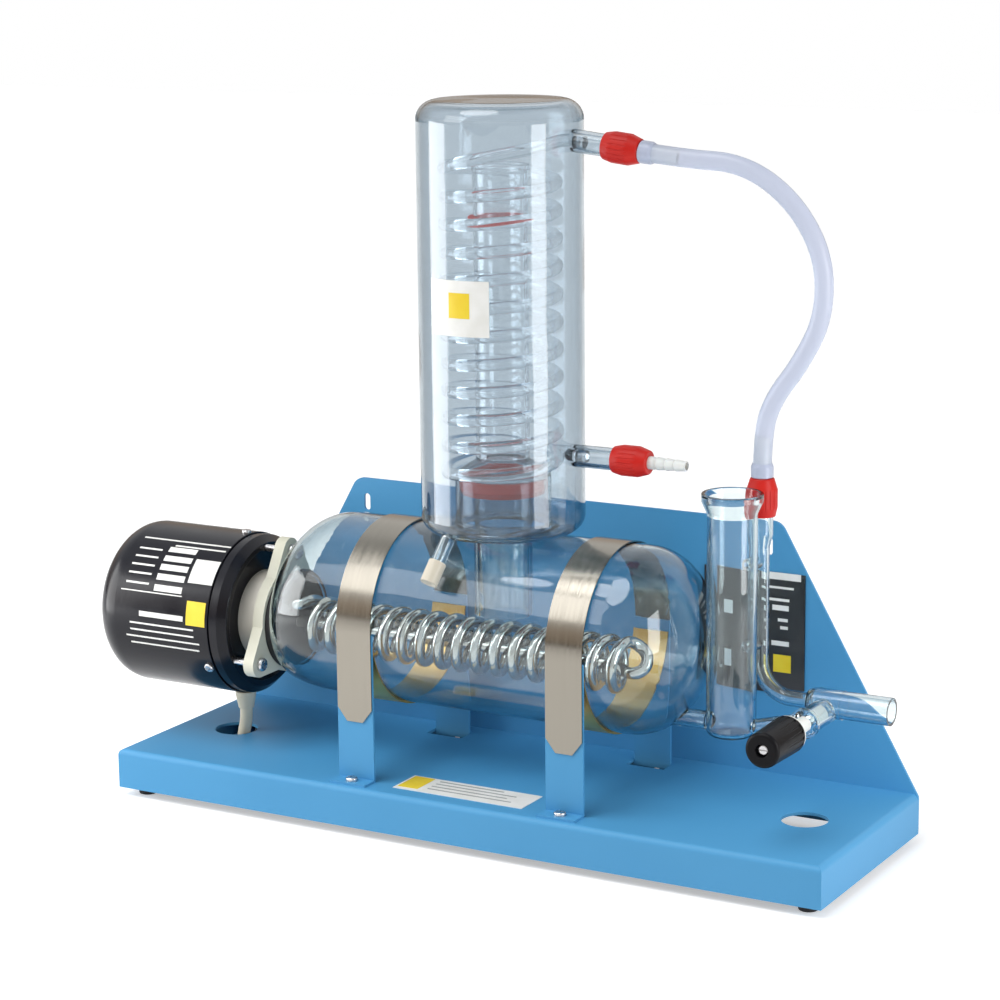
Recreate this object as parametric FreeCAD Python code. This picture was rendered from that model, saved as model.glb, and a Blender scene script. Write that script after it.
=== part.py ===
import FreeCAD, Part
import math
import os

# Glass water distiller: a horizontal boiler in a sheet metal cradle, an electric heater
# head at its left end, a coil condenser on top and a level vessel with a drain at its right.
# Millimetres. X runs along the base, +Y to the back panel, +Z up.
# The origin is the middle of the base on the surface that the feet stand on.

V = FreeCAD.Vector
X_AXIS = V(1, 0, 0)
Y_AXIS = V(0, 1, 0)
Z_AXIS = V(0, 0, 1)

# Everything is measured from the tray's middle, and moved along X by this when it is written,
# so that the part's origin is the middle of the whole still in plan
TRAY_FROM_ORIGIN = 19.0

# Base tray and back panel
FOOT_H = 6.0
TRAY_W = 520.0
TRAY_D = 160.0
TRAY_H = 27.0
SHEET = 2.0
BEND_R = 4.0
TRAY_TOP = FOOT_H + TRAY_H
PANEL_TOP_Z = 203.0
PANEL_TOP_W = 324.0
PANEL_CORNER_R = 10.0
KEYHOLE_X = 154.0
KEYHOLE_Z = 186.0
KEYHOLE_W = 5.0
KEYHOLE_L = 12.0
CORD_HOLE_X = 215.5
CORD_HOLE_Y = -2.0
CORD_HOLE_R = 15.0
NOTCH_X = -199.0
NOTCH_W = 26.0
NOTCH_H = 9.0
PANEL_SCREW_XS = (-225.0, -90.0, 90.0, 225.0)
PANEL_SCREW_Z = 20.0
FOOT_R = 7.0
FOOT_INSET = 14.0
FOOT_TAB = 12.0
SCREW_CLEAR_R = 1.9
LEG_SCREW_CLEAR_R = 2.2

# Cradles: legs, saddles and straps
CRADLE_XS = (-77.5, 77.5)
LEG_W = 27.0
LEG_T = 1.5
LEG_IN_Y = 61.6
LEG_FOOT = 12.0
LEG_BELOW_AXIS = 3.0
SLOT_Y0 = 50.0
STRAP_W = 26.0
STRAP_T = 0.8
STRAP_TIP_Z = 73.0
STRAP_DROP = 1.5
SADDLE_GAP = 0.3
SADDLE_T = 1.0
SADDLE_HALF_ANGLE = 80.0

# Boiler
BOILER_R = 61.2
BOILER_Z = 135.4
GLASS_T = 2.2
BODY_X0 = -116.0
BODY_X1 = 100.0
DOME_L = 44.0
SHOULDER_L = 44.0
HEAD_Z = 118.5
MOUTH_R = 33.5
MOUTH_L = 2.0
NECK_R = 19.0
NECK_BOTTOM_Z = 141.0
NECK_TOP_Z = 229.0
LINK_Z = 88.0
LINK_R = 6.0
VALVE_LINK_R = 5.0

# Heating element
WIRE_R = 4.0
ELEMENT_Z = 116.5
ELEMENT_R = 15.5
ELEMENT_PITCH = 14.2
ELEMENT_TURNS = 17
ELEMENT_X0 = -152.0
LEG_END_X = -206.0

# Heater head
GASKET_T = 5.0
GASKET_R = 34.5
GASKET_X = BODY_X0 - SHOULDER_L - MOUTH_L - GASKET_T
FLANGE_T = 8.0
FLANGE_X = GASKET_X - FLANGE_T
LUG_PCR = 47.0
LUG_R = 9.0
FLANGE_CORE_R = 37.0
LUG_ANGLES = (90.0, 210.0, 330.0)
BOSS_R = 30.5
RING_R = 55.0
RING_X0 = -199.3
RING_X1 = -187.5
SPIGOT_R = 53.2
SPIGOT_L = 15.0
CAP_R = 56.0
CAP_T = 2.6
CAP_X0 = -298.0
CAP_END_R = 21.0
CAP_SCREW_X = -203.5
CAP_SCREW_ANGLES = (90.0, 210.0, 330.0)
CLEAR = 0.2

# Condenser
JACKET_R = 53.5
JACKET_Z0 = 197.4
JACKET_Z1 = 476.0
JACKET_TOP_R = 13.0
JACKET_LOW_R = 11.0
SLEEVE_R = 31.2
SLEEVE_TOP_Z = 234.0
RISER_R = 17.5
RISER_T = 2.0
RISER_Z0 = 246.5
RISER_Z1 = 435.0
SEAL_Z0 = 222.5
SEAL_Z1 = 233.0
TOP_RING_Z = 400.5
COIL_TUBE_R = 4.0
COIL_R = 36.0
COIL_OUT_R = 45.6
COIL_PITCH = 17.8
COIL_Z0 = 237.0
COIL_TURNS = 11
COIL_JOIN = 0.03
COIL_DROP = 0.35
COIL_LOW = 0.6
COIL_ENTRY_X = 54.0
STUB_R = 7.2
STUB_BORE_R = 5.2
UPPER_STUB_Z = 457.5
UPPER_STUB_TILT = 6.5
LOWER_STUB_Z = 251.0
UPPER_CAP_S = 76.0
LOWER_CAP_S = 81.5
SPOUT_FROM = (-15.0, -40.0, 205.0)
SPOUT_TO = (-19.0, -61.5, 176.0)
SPOUT_R = 4.6
SPOUT_BORE_R = 3.0
SPOUT_GAP = 0.15
SPOUT_SLEEVE_L = 15.0

# Screw caps and hose tails
CAP_LEN = 24.5
CAP_MID_R = 9.9
CAP_TIP_R = 7.6
CAP_RIBS = 20
RUN_GAP = 0.08
TAIL_R = 4.2
TAIL_BORE_R = 2.6
TAIL_OUT = 26.0
TAIL_TIP_R = 3.3
TAIL_HEAD_R = 6.6
TAIL_BARBS = 3
STUB_IN_CAP = 15.0

# Level vessel, overflow and drain valve
VESSEL_X = 163.5
VESSEL_R = 16.0
VESSEL_T = 2.0
VESSEL_Z0 = 80.5
VESSEL_Z1 = 237.0
VESSEL_RIM_R = 19.6
INLET_X = 170.5
INLET_Y = 29.0
INLET_CAP_Z = 217.5
INLET_TUBE_R = 5.2
DRAIN_Z = 101.0
DRAIN_R = 9.0
DRAIN_COLLAR_R = 9.4
DRAIN_COLLAR = (211.0, 228.0)
DRAIN_X0 = 203.0
DRAIN_X1 = 260.0
SWEEP_R = 22.0
BRIDGE_ZS = (135.0, 188.0)
BRIDGE_R = 4.0
VALVE_X = 217.5
VALVE_Z = 97.7
BARREL_R = 8.4
BARREL_Y0 = -10.0
SPINDLE_R = 4.9
SPINDLE_TIP_Y = 17.0
SEAT_R = 4.0
KNOB_R = 12.0
KNOB_Y0 = -34.5
KNOB_Y1 = -74.0
KNOB_FLUTES = 18

# Cooling water hose
HOSE_R = 6.0
CUFF_R = 7.2
CUFF_L = 9.0

# Mains lead: out of the gland, down the tray's hole and out at the back, to a neat coil
LEAD_R = 4.4
LEAD_LIE_Z = 4.75
GLAND_X = -206.0
GLAND_Y = -3.0
GLAND_R = 7.2
GLAND_PLUG_R = 5.2
LEAD_ROUTE = ((-206.0, -3.0, 50.0), (-206.0, -3.0, 41.5), (-209.3, -2.5, 30.0), (-213.2, 0.8, 18.2),
              (-214.6, 9.5, 8.8), (-213.0, 24.0, 4.75), (-210.8, 44.5, 4.75), (-205.5, 67.0, 4.75),
              (-197.5, 91.0, 4.75), (-187.98, 122.2, 4.75), (-187.43, 143.2, 4.75))
WOUND_X = -130.0
WOUND_Y = 152.0
WOUND_OUT_R = 57.2
WOUND_STEP = 9.4
WOUND_LAYER = 9.4
WOUND_REVERSAL = 2.5
WOUND_TURNS = 5.25
TAIL_ROUTE = ((-121.2, 211.77, 14.15), (-101.2, 212.27, 14.15), (-78.8, 210.5, 13.9),
              (-58.9, 201.2, 13.4), (-43.9, 185.1, 12.9), (-36.0, 164.6, 12.5), (-36.0, 144.6, 12.5))
PLUG_W = 48.0
PLUG_L = 50.0
PLUG_H = 23.0
PLUG_BOSS_L = 10.0
PLUG_AT = (TAIL_ROUTE[-1][0], TAIL_ROUTE[-1][1] - PLUG_BOSS_L - PLUG_L / 2)
PLUG_ENTRY_Z = TAIL_ROUTE[-1][2]

# The hose's bow between its two straight ends
HOSE_POINTS = ((168.0, 4.0, 441.0), (199.0, 9.0, 419.0), (217.0, 14.0, 385.0), (215.0, 19.0, 347.0),
               (197.0, 24.0, 316.0), (179.0, 27.5, 294.0))

# Bare plates
PLATE_T = 0.8
LABEL_T = 0.4
PANEL_PLATE = (108.0, 180.0, 88.0, 169.0)
BASE_LABEL = (-48.0, 48.0, -66.0, -38.0)


def point(p):
    return V(float(p[0]), float(p[1]), float(p[2]))


def block(x0, x1, y0, y1, z0, z1):
    """A box between two corners."""
    return Part.makeBox(x1 - x0, y1 - y0, z1 - z0, V(x0, y0, z0))


def rod(start, direction, radius, length):
    """A plain cylinder from start along direction."""
    return Part.makeCylinder(radius, length, point(start), point(direction))


def pipe_piece(start, direction, outer, inner, length):
    """A straight tube with an open bore."""
    return rod(start, direction, outer, length).cut(rod(start, direction, inner, length))


def corner_arc(before, corner, after, radius):
    """The two tangent points and the middle of the arc that rounds one corner."""
    u = (before - corner).normalize()
    v = (after - corner).normalize()
    half = 0.5 * math.acos(max(-1.0, min(1.0, u.dot(v))))
    reach = radius / math.tan(half)
    middle = (u + v).normalize()
    centre = corner + middle * (radius / math.sin(half))
    return corner + u * reach, centre - middle * radius, corner + v * reach


def outline(corners):
    """A closed wire through corners (a, b, fillet) in the XZ plane."""
    points = [V(a, 0, b) for a, b, _ in corners]
    count = len(points)
    starts, ends, middles = [], [], []
    for i, (_, _, fillet) in enumerate(corners):
        if fillet > 0:
            first, middle, last = corner_arc(points[i - 1], points[i], points[(i + 1) % count], fillet)
        else:
            first, middle, last = points[i], None, points[i]
        starts.append(first)
        middles.append(middle)
        ends.append(last)
    edges = []
    for i in range(count):
        if middles[i] is not None:
            edges.append(Part.Arc(starts[i], middles[i], ends[i]).toShape())
        following = starts[(i + 1) % count]
        if (following - ends[i]).Length > 1e-6:
            edges.append(Part.LineSegment(ends[i], following).toShape())
    return Part.Wire(edges)


def place(shape, origin, direction):
    """Move a shape made along +Z so that it starts at origin and runs along direction."""
    turn = FreeCAD.Rotation(Z_AXIS, point(direction))
    moved = shape.copy()
    moved.Placement = FreeCAD.Placement(point(origin), turn)
    return moved


def lathe(corners, origin=(0, 0, 0), direction=(0, 0, 1)):
    """Turn an outline of (radius, height, fillet) corners about its axis."""
    face = Part.Face(outline(corners))
    return place(face.revolve(V(0, 0, 0), Z_AXIS, 360), origin, direction)


def on_circle(x, z, radius, degrees):
    """A point at an angle round the heater's axis: 0 is the back, 90 is the top."""
    a = math.radians(degrees)
    return (x, radius * math.cos(a), z + radius * math.sin(a))


def joined(shapes):
    """Several solids that share one node."""
    return Part.makeCompound(shapes)


def fused(shapes):
    whole = shapes[0].multiFuse(shapes[1:])
    return whole.removeSplitter()


def save(name, shape):
    """Writes a node, measured from the part's origin."""
    shape = shape.translated(V(TRAY_FROM_ORIGIN, 0, 0))
    shape.exportStep("parts/%s.step" % name)
    box = shape.BoundBox
    print("%-22s %2d solids %9.0f mm3 valid %s z %.1f..%.1f" % (
        name, len(shape.Solids), shape.Volume, shape.isValid(), box.ZMin, box.ZMax))


def pan_screw(head_at, direction, head_r, head_h, shank_r, shank_l):
    """A pan head screw: head_at is the face the head sits on, direction points out of it."""
    head = lathe([(0, 0, 0), (head_r, 0, 0), (head_r, head_h, head_h * 0.45), (0, head_h, 0)],
                 head_at, direction)
    slot_h = head_h * 0.45
    slot = Part.makeBox(head_r * 3, 0.9, slot_h, V(-head_r * 1.5, -0.45, head_h - slot_h))
    head = head.cut(place(slot, head_at, direction))
    back = point(direction) * -1
    return head.fuse(rod(head_at, (back.x, back.y, back.z), shank_r, shank_l))


# Biarcs carry every wound form: two arcs that meet smoothly between two points


def arc_edge(start, corner, end):
    """The arc that leaves start towards corner and reaches end from corner."""
    middle = (start + end) * 0.5
    height = (corner - middle).Length
    half = (end - start).Length * 0.5
    if height < 1e-7 or half < 1e-7:
        return Part.LineSegment(start, end).toShape(), 1e9
    leg = math.hypot(height, half)
    top = corner + (middle - corner) * (leg * (leg - half) / (height * height))
    return Part.Arc(start, top, end).toShape(), leg * half / height


def biarc(p0, t0, p1, t1):
    """Two arcs from p0 with tangent t0 to p1 with tangent t1."""
    v = p1 - p0
    t = t0 + t1
    denominator = 2 * (1 - t0.dot(t1))
    if denominator < 1e-9:
        d = v.dot(v) / (4 * v.dot(t0))
    else:
        d = (-v.dot(t) + math.sqrt(v.dot(t) ** 2 + denominator * v.dot(v))) / denominator
    q0 = p0 + t0 * d
    q1 = p1 - t1 * d
    joint = (q0 + q1) * 0.5
    first, r0 = arc_edge(p0, q0, joint)
    second, r1 = arc_edge(joint, q1, p1)
    return [first, second], min(r0, r1)


def wound_wire(stations):
    """One wire of lines and biarcs through (point, tangent) stations."""
    edges, tightest = [], 1e9
    for (p0, t0), (p1, t1) in zip(stations, stations[1:]):
        straight = (p1 - p0).normalize()
        if (straight - t0).Length < 1e-4 and (straight - t1).Length < 1e-4:
            edges.append(Part.LineSegment(p0, p1).toShape())
            continue
        pair, radius = biarc(p0, t0, p1, t1)
        edges.extend(pair)
        tightest = min(tightest, radius)
    return Part.Wire(edges), tightest


def self_gap(wire, diameter):
    """Least gap between two stretches of one tube, measured on points along its line."""
    points = wire.discretize(Distance=diameter * 0.35)
    step = wire.Length / (len(points) - 1)
    apart = int(math.ceil(diameter * 2.2 / step))
    least = 1e9
    for i in range(len(points)):
        for j in range(i + apart, len(points)):
            least = min(least, (points[i] - points[j]).Length)
    return least - diameter


def wound_tube(name, stations, radius):
    """A round tube along stations, with its tightest bend, self gap and volume printed."""
    wire, tightest = wound_wire(stations)
    start, tangent = stations[0]
    ring = Part.Wire(Part.Circle(start, tangent, radius).toShape())
    tube = wire.makePipeShell([ring], True, False)
    expected = math.pi * radius ** 2 * wire.Length
    print("%s: length %.0f, tightest bend %.1f, self gap %.2f, volume ratio %.4f" % (
        name, wire.Length, tightest, self_gap(wire, 2 * radius), tube.Volume / expected))
    return tube


def route_wire(route):
    """Straight runs joined by the largest tangent arcs that the runs allow."""
    points = [point(p) for p in route]
    edges, radii = [], []
    at = points[0]
    for before, corner, after in zip(points, points[1:], points[2:]):
        first = corner - before
        second = after - corner
        shorter = min(first.Length, second.Length)
        turn = first.getAngle(second)
        radius = 0.45 * shorter / math.tan(turn / 2)
        begin, middle, end = corner_arc(before, corner, after, radius)
        edges.append(Part.LineSegment(at, begin).toShape())
        edges.append(Part.Arc(begin, middle, end).toShape())
        radii.append(radius)
        at = end
    edges.append(Part.LineSegment(at, points[-1]).toShape())
    return Part.Wire(edges), radii


def route_tube(name, route, radius):
    """A cord's plain tube along its route."""
    wire, radii = route_wire(route)
    start = point(route[0])
    ring = Part.Wire(Part.Circle(start, point(route[1]) - start, radius).toShape())
    tube = wire.makePipeShell([ring], True, False)
    expected = math.pi * radius ** 2 * wire.Length
    print("%s: length %.0f, radii %s, volume ratio %.4f" % (
        name, wire.Length, " ".join("%.0f" % r for r in radii), tube.Volume / expected))
    return tube


# Base


def tray_holes():
    """Everything that goes down through the tray's top."""
    holes = []
    for side in (-1, 1):
        holes.append(rod((side * CORD_HOLE_X, CORD_HOLE_Y, 0), (0, 0, 1), CORD_HOLE_R, 60))
    for x in CRADLE_XS:
        half = LEG_W / 2 + 0.5
        holes.append(block(x - half, x + half, SLOT_Y0, LEG_IN_Y + LEG_T + 0.3, 20, 50))
        for y in (-(LEG_IN_Y + LEG_T + LEG_FOOT / 2), LEG_IN_Y + LEG_T + LEG_FOOT / 2):
            holes.append(rod((x, y, 20), (0, 0, 1), LEG_SCREW_CLEAR_R, 30))
    return holes


def base_tray():
    """A folded sheet tray, open below, with its lips turned down all round."""
    back = TRAY_D / 2 - SHEET
    outer = block(-TRAY_W / 2, TRAY_W / 2, -TRAY_D / 2, back, FOOT_H, TRAY_TOP)
    rounded = [e for e in outer.Edges
               if e.BoundBox.ZMin > TRAY_TOP - 0.1 and e.BoundBox.YMin < back - 0.1]
    outer = outer.makeFillet(BEND_R, rounded)
    inner = block(-TRAY_W / 2 + SHEET, TRAY_W / 2 - SHEET, -TRAY_D / 2 + SHEET,
                  back - SHEET, FOOT_H - 1, TRAY_TOP - SHEET)
    tray = outer.cut(inner)
    plate = block(-TRAY_W / 2 + SHEET / 2, TRAY_W / 2 - SHEET / 2, -TRAY_D / 2 + SHEET / 2, back - SHEET / 2,
                  FOOT_H, FOOT_H + SHEET)
    middle_x = TRAY_W / 2 - FOOT_INSET - FOOT_TAB
    middle_y = TRAY_D / 2 - FOOT_INSET - FOOT_TAB
    plate = plate.cut(block(-middle_x, middle_x, -TRAY_D, TRAY_D, 0, TRAY_TOP))
    plate = plate.cut(block(-TRAY_W, TRAY_W, -middle_y, middle_y, 0, TRAY_TOP))
    tray = fused([tray, plate])
    tools = tray_holes() + [rear_notch()]
    for x in PANEL_SCREW_XS:
        tools.append(rod((x, 60, PANEL_SCREW_Z), (0, 1, 0), SCREW_CLEAR_R, 40))
    for x, y in foot_places():
        tools.append(rod((x, y, 0), (0, 0, 1), 2.0, 15))
    return tray.cut(Part.makeCompound(tools)).removeSplitter()


def rear_notch():
    """The gap low in the tray's back lip and the panel where the lead leaves."""
    return block(NOTCH_X - NOTCH_W / 2, NOTCH_X + NOTCH_W / 2, TRAY_D / 2 - 12, TRAY_D / 2 + 12,
                 0, FOOT_H + NOTCH_H)


def foot_places():
    return [(sx * (TRAY_W / 2 - FOOT_INSET), sy * (TRAY_D / 2 - FOOT_INSET))
            for sx in (-1, 1) for sy in (-1, 1)]


def back_panel():
    """A flat sheet that rises behind the tray, with slanted sides and two wall keyholes."""
    y0, y1 = TRAY_D / 2 - SHEET, TRAY_D / 2
    corners = [(-TRAY_W / 2, FOOT_H, 0), (TRAY_W / 2, FOOT_H, 0),
               (TRAY_W / 2, TRAY_TOP - 2, 4), (PANEL_TOP_W / 2, PANEL_TOP_Z, PANEL_CORNER_R),
               (-PANEL_TOP_W / 2, PANEL_TOP_Z, PANEL_CORNER_R), (-TRAY_W / 2, TRAY_TOP - 2, 4)]
    face = Part.Face(outline(corners))
    panel = face.extrude(V(0, y1 - y0, 0))
    panel.translate(V(0, y0, 0))
    tools = [rear_notch()]
    half = (KEYHOLE_L - KEYHOLE_W) / 2
    for side in (-1, 1):
        x = side * KEYHOLE_X
        for z in (KEYHOLE_Z - half, KEYHOLE_Z + half):
            tools.append(rod((x, 60, z), (0, 1, 0), KEYHOLE_W / 2, 40))
        tools.append(block(x - KEYHOLE_W / 2, x + KEYHOLE_W / 2, 60, 100,
                           KEYHOLE_Z - half, KEYHOLE_Z + half))
    for x in PANEL_SCREW_XS:
        tools.append(rod((x, 60, PANEL_SCREW_Z), (0, 1, 0), SCREW_CLEAR_R, 40))
    return panel.cut(fused(tools))


def panel_screws():
    return joined([pan_screw((x, TRAY_D / 2, PANEL_SCREW_Z), (0, 1, 0), 3.6, 2.4, 1.7, 7.0)
                   for x in PANEL_SCREW_XS])


def foot(x, y):
    """A rubber button foot with a recess for its screw."""
    body = lathe([(2.2, 0, 0), (FOOT_R - 0.8, 0, 1.0), (FOOT_R, FOOT_H, 0), (2.2, FOOT_H, 0)],
                 (x, y, 0))
    return body.cut(rod((x, y, -1), (0, 0, 1), 4.2, 3.8))


def foot_screws():
    return joined([pan_screw((x, y, 2.8), (0, 0, -1), 3.6, 2.2, 1.8, 8.0)
                   for x, y in foot_places()])


# Cradles


def front_leg(x):
    """A sheet leg with its foot turned forward on the tray."""
    y_in, y_out = -LEG_IN_Y, -(LEG_IN_Y + LEG_T)
    top = BOILER_Z - LEG_BELOW_AXIS
    upright = block(x - LEG_W / 2, x + LEG_W / 2, y_out, y_in, TRAY_TOP, top)
    flange = block(x - LEG_W / 2, x + LEG_W / 2, y_out - LEG_FOOT, y_out, TRAY_TOP, TRAY_TOP + LEG_T)
    hole = rod((x, y_out - LEG_FOOT / 2, 20), (0, 0, 1), LEG_SCREW_CLEAR_R, 30)
    return fused([upright, flange]).cut(hole)


def back_leg(x):
    """A sheet leg that comes up through the tray's slot, its foot turned back below."""
    y_in, y_out = LEG_IN_Y, LEG_IN_Y + LEG_T
    top = BOILER_Z - LEG_BELOW_AXIS
    under = TRAY_TOP - SHEET
    upright = block(x - LEG_W / 2, x + LEG_W / 2, y_in, y_out, under - LEG_T, top)
    flange = block(x - LEG_W / 2, x + LEG_W / 2, y_out, y_out + LEG_FOOT, under - LEG_T, under)
    hole = rod((x, y_out + LEG_FOOT / 2, 20), (0, 0, 1), LEG_SCREW_CLEAR_R, 30)
    return fused([upright, flange]).cut(hole)


def leg_screws():
    """Four screws: the front ones go down through the leg's foot, the back ones up from below."""
    reach = LEG_IN_Y + LEG_T + LEG_FOOT / 2
    screws = []
    for x in CRADLE_XS:
        screws.append(pan_screw((x, -reach, TRAY_TOP + LEG_T), (0, 0, 1), 4.0, 2.4, 2.0, 8.0))
        screws.append(pan_screw((x, reach, TRAY_TOP), (0, 0, 1), 4.0, 2.4, 2.0, 8.0))
    return joined(screws)


def saddle(x):
    """The lower band that the boiler lies in, between its two legs."""
    inner = BOILER_R + SADDLE_GAP
    ring = pipe_piece((x - STRAP_W / 2, 0, BOILER_Z), (1, 0, 0), inner + SADDLE_T, inner, STRAP_W)
    top = BOILER_Z - inner * math.cos(math.radians(SADDLE_HALF_ANGLE))
    return ring.common(block(x - 50, x + 50, -90, 90, 0, top))


def strap(x):
    """The polished upper band: over the glass, then straight down outside both legs."""
    centre_z = BOILER_Z - STRAP_DROP
    inner = LEG_IN_Y + LEG_T
    outer = inner + STRAP_T
    ring = pipe_piece((x - STRAP_W / 2, 0, centre_z), (1, 0, 0), outer, inner, STRAP_W)
    upper = ring.common(block(x - 50, x + 50, -90, 90, centre_z, centre_z + 100))
    tails = []
    for side in (-1, 1):
        y0, y1 = sorted((side * inner, side * outer))
        tail = block(x - STRAP_W / 2, x + STRAP_W / 2, y0, y1, STRAP_TIP_Z, centre_z)
        tip = Part.Wire(Part.makePolygon([
            V(x - STRAP_W / 2, y0, STRAP_TIP_Z + 9), V(x - STRAP_W / 2 + 7, y0, STRAP_TIP_Z),
            V(x - STRAP_W / 2 - 5, y0, STRAP_TIP_Z - 5), V(x - STRAP_W / 2, y0, STRAP_TIP_Z + 9)]))
        corner = Part.Face(tip).extrude(V(0, y1 - y0, 0))
        mirrored = corner.mirror(V(x, 0, 0), X_AXIS)
        tails.append(tail.cut(Part.makeCompound([corner, mirrored])))
    return fused([upper] + tails)


# Boiler


def shoulder(radius_less, length):
    """The eccentric dome that narrows from the body to the heater's mouth."""
    rings = []
    for degrees in (0, 18, 36, 54, 70, 82, 90):
        a = math.radians(degrees)
        x = BODY_X0 - length * math.sin(a)
        radius = MOUTH_R + (BOILER_R - MOUTH_R) * math.cos(a) - radius_less
        z = HEAD_Z + (BOILER_Z - HEAD_Z) * math.cos(a)
        rings.append(Part.Wire(Part.Circle(V(x, 0, z), X_AXIS, radius).toShape()))
    return Part.makeLoft(rings, True)


def body_and_dome(radius, length):
    """The body's cylinder and its rounded right end, turned about the boiler's axis."""
    straight = BODY_X1 - BODY_X0
    base, low = V(0, 0, 0), V(radius, 0, 0)
    side, tip = V(radius, 0, straight), V(0, 0, straight + length)
    arcs, _ = biarc(side, Z_AXIS, tip, X_AXIS * -1)
    rim = [Part.LineSegment(base, low).toShape(), Part.LineSegment(low, side).toShape()]
    rim += arcs + [Part.LineSegment(tip, base).toShape()]
    solid = Part.Face(Part.Wire(rim)).revolve(base, Z_AXIS, 360)
    return place(solid, (BODY_X0, 0, BOILER_Z), (1, 0, 0))


def boiler_glass():
    """The blown boiler: body, right dome, left shoulder and mouth, neck and water link."""
    wall = GLASS_T
    mouth_x = BODY_X0 - SHOULDER_L
    link_x0 = BODY_X1 + 10
    link_l = VESSEL_X - VESSEL_R - 0.3 - link_x0
    outer = fused([
        body_and_dome(BOILER_R, DOME_L),
        shoulder(0, SHOULDER_L),
        rod((mouth_x - MOUTH_L, 0, HEAD_Z), (1, 0, 0), MOUTH_R, MOUTH_L + 3),
        rod((0, 0, NECK_BOTTOM_Z), (0, 0, 1), NECK_R, NECK_TOP_Z - NECK_BOTTOM_Z),
        rod((link_x0, 0, LINK_Z), (1, 0, 0), LINK_R, link_l)])
    hollow = fused([
        body_and_dome(BOILER_R - wall, DOME_L - wall),
        shoulder(wall, SHOULDER_L - wall * 0.7)])
    neck = pipe_piece((0, 0, NECK_BOTTOM_Z), (0, 0, 1), NECK_R, NECK_R - 2.0,
                      NECK_TOP_Z - NECK_BOTTOM_Z)
    bores = [rod((0, 0, NECK_BOTTOM_Z - 1), (0, 0, 1), NECK_R - 2.0, NECK_TOP_Z - NECK_BOTTOM_Z + 2),
             rod((mouth_x - MOUTH_L - 1, 0, HEAD_Z), (1, 0, 0), MOUTH_R - wall - 0.3, 20),
             rod((link_x0, 0, LINK_Z), (1, 0, 0), LINK_R - 1.6, link_l + 1)]
    return outer.cut(hollow.cut(neck)).cut(fused(bores))


# Heating element and heater head


def element_point(turns):
    """Centre of the wire and its direction after a number of turns."""
    a = math.radians(90) - turns * 2 * math.pi
    where = V(ELEMENT_X0 + ELEMENT_PITCH * turns, ELEMENT_R * math.cos(a),
              ELEMENT_Z + ELEMENT_R * math.sin(a))
    along = V(ELEMENT_PITCH / (2 * math.pi), ELEMENT_R * math.sin(a), -ELEMENT_R * math.cos(a))
    return where, along.normalize()


def heating_element():
    """A wire helix whose far end turns into the middle and runs straight back."""
    first, _ = element_point(0)
    side_y, side_z = element_side_leg()
    stations = [(V(LEG_END_X, side_y, side_z), X_AXIS), (V(first.x - 9.8, side_y, side_z), X_AXIS)]
    for step in range(ELEMENT_TURNS * 2 + 1):
        stations.append(element_point(step / 2))
    last, _ = element_point(ELEMENT_TURNS)
    stations.append((V(last.x + 8.9, 0.8, ELEMENT_Z - 3.4), V(-0.77, -0.49, -0.41).normalize()))
    stations.append((V(last.x - 12.9, 0, ELEMENT_Z), X_AXIS * -1))
    stations.append((V(LEG_END_X, 0, ELEMENT_Z), X_AXIS * -1))
    return wound_tube("heating_element", stations, WIRE_R)


def element_side_leg():
    """The y and z of the straight end that leads into the helix."""
    first, _ = element_point(0)
    return first.y - 9.5, first.z - 1.5


def element_holes(x0, length):
    """Clearance for the element's two straight ends."""
    places = [element_side_leg(), (0.0, ELEMENT_Z)]
    return [rod((x0, y, z), (1, 0, 0), WIRE_R + CLEAR, length) for y, z in places]


def flange_gasket():
    """The black disc that closes the boiler's mouth."""
    disc = lathe([(0, 0, 0), (GASKET_R, 0, 0), (GASKET_R, GASKET_T, 0.8), (0, GASKET_T, 0)],
                 (GASKET_X, 0, HEAD_Z), (1, 0, 0))
    return disc.cut(Part.makeCompound(element_holes(GASKET_X - 1, GASKET_T + 2)))


def lug_points(x):
    return [on_circle(x, HEAD_Z, LUG_PCR, a) for a in LUG_ANGLES]


def heater_flange():
    """The cream clamping plate: a triangle with a round lug at each corner."""
    reach = LUG_PCR + 2 * LUG_R
    corners = []
    for angle in LUG_ANGLES:
        a = math.radians(angle)
        corners.append((reach * math.cos(a), reach * math.sin(a), LUG_R))
    web = Part.Face(outline(corners)).extrude(V(0, -FLANGE_T, 0))
    web.rotate(V(0, 0, 0), Z_AXIS, 90)
    web.translate(V(FLANGE_X, 0, HEAD_Z))
    plate = fused([web, rod((FLANGE_X, 0, HEAD_Z), (1, 0, 0), FLANGE_CORE_R, FLANGE_T)])
    tools = element_holes(FLANGE_X - 1, FLANGE_T + 2)
    for at in lug_points(FLANGE_X - 1):
        tools.append(rod(at, (1, 0, 0), 2.7, FLANGE_T + 2))
    return plate.cut(Part.makeCompound(tools))


def heater_boss():
    """The cream ceramic collar between the plate and the head's base."""
    length = FLANGE_X - (RING_X0 - 5)
    boss = lathe([(0, 0, 0), (BOSS_R, 0, 1.0), (BOSS_R, length, 0), (0, length, 0)],
                 (RING_X0 - 5, 0, HEAD_Z), (1, 0, 0))
    return boss.cut(Part.makeCompound(element_holes(RING_X0 - 10, length + 10)))


def flange_screws():
    """Three screws through the plate, with their shanks showing behind it."""
    screws = []
    for at in lug_points(FLANGE_X + FLANGE_T):
        screws.append(pan_screw(at, (1, 0, 0), 4.6, 3.2, 2.4, FLANGE_T + FLANGE_X - RING_X1 + 8))
    return joined(screws)


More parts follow.
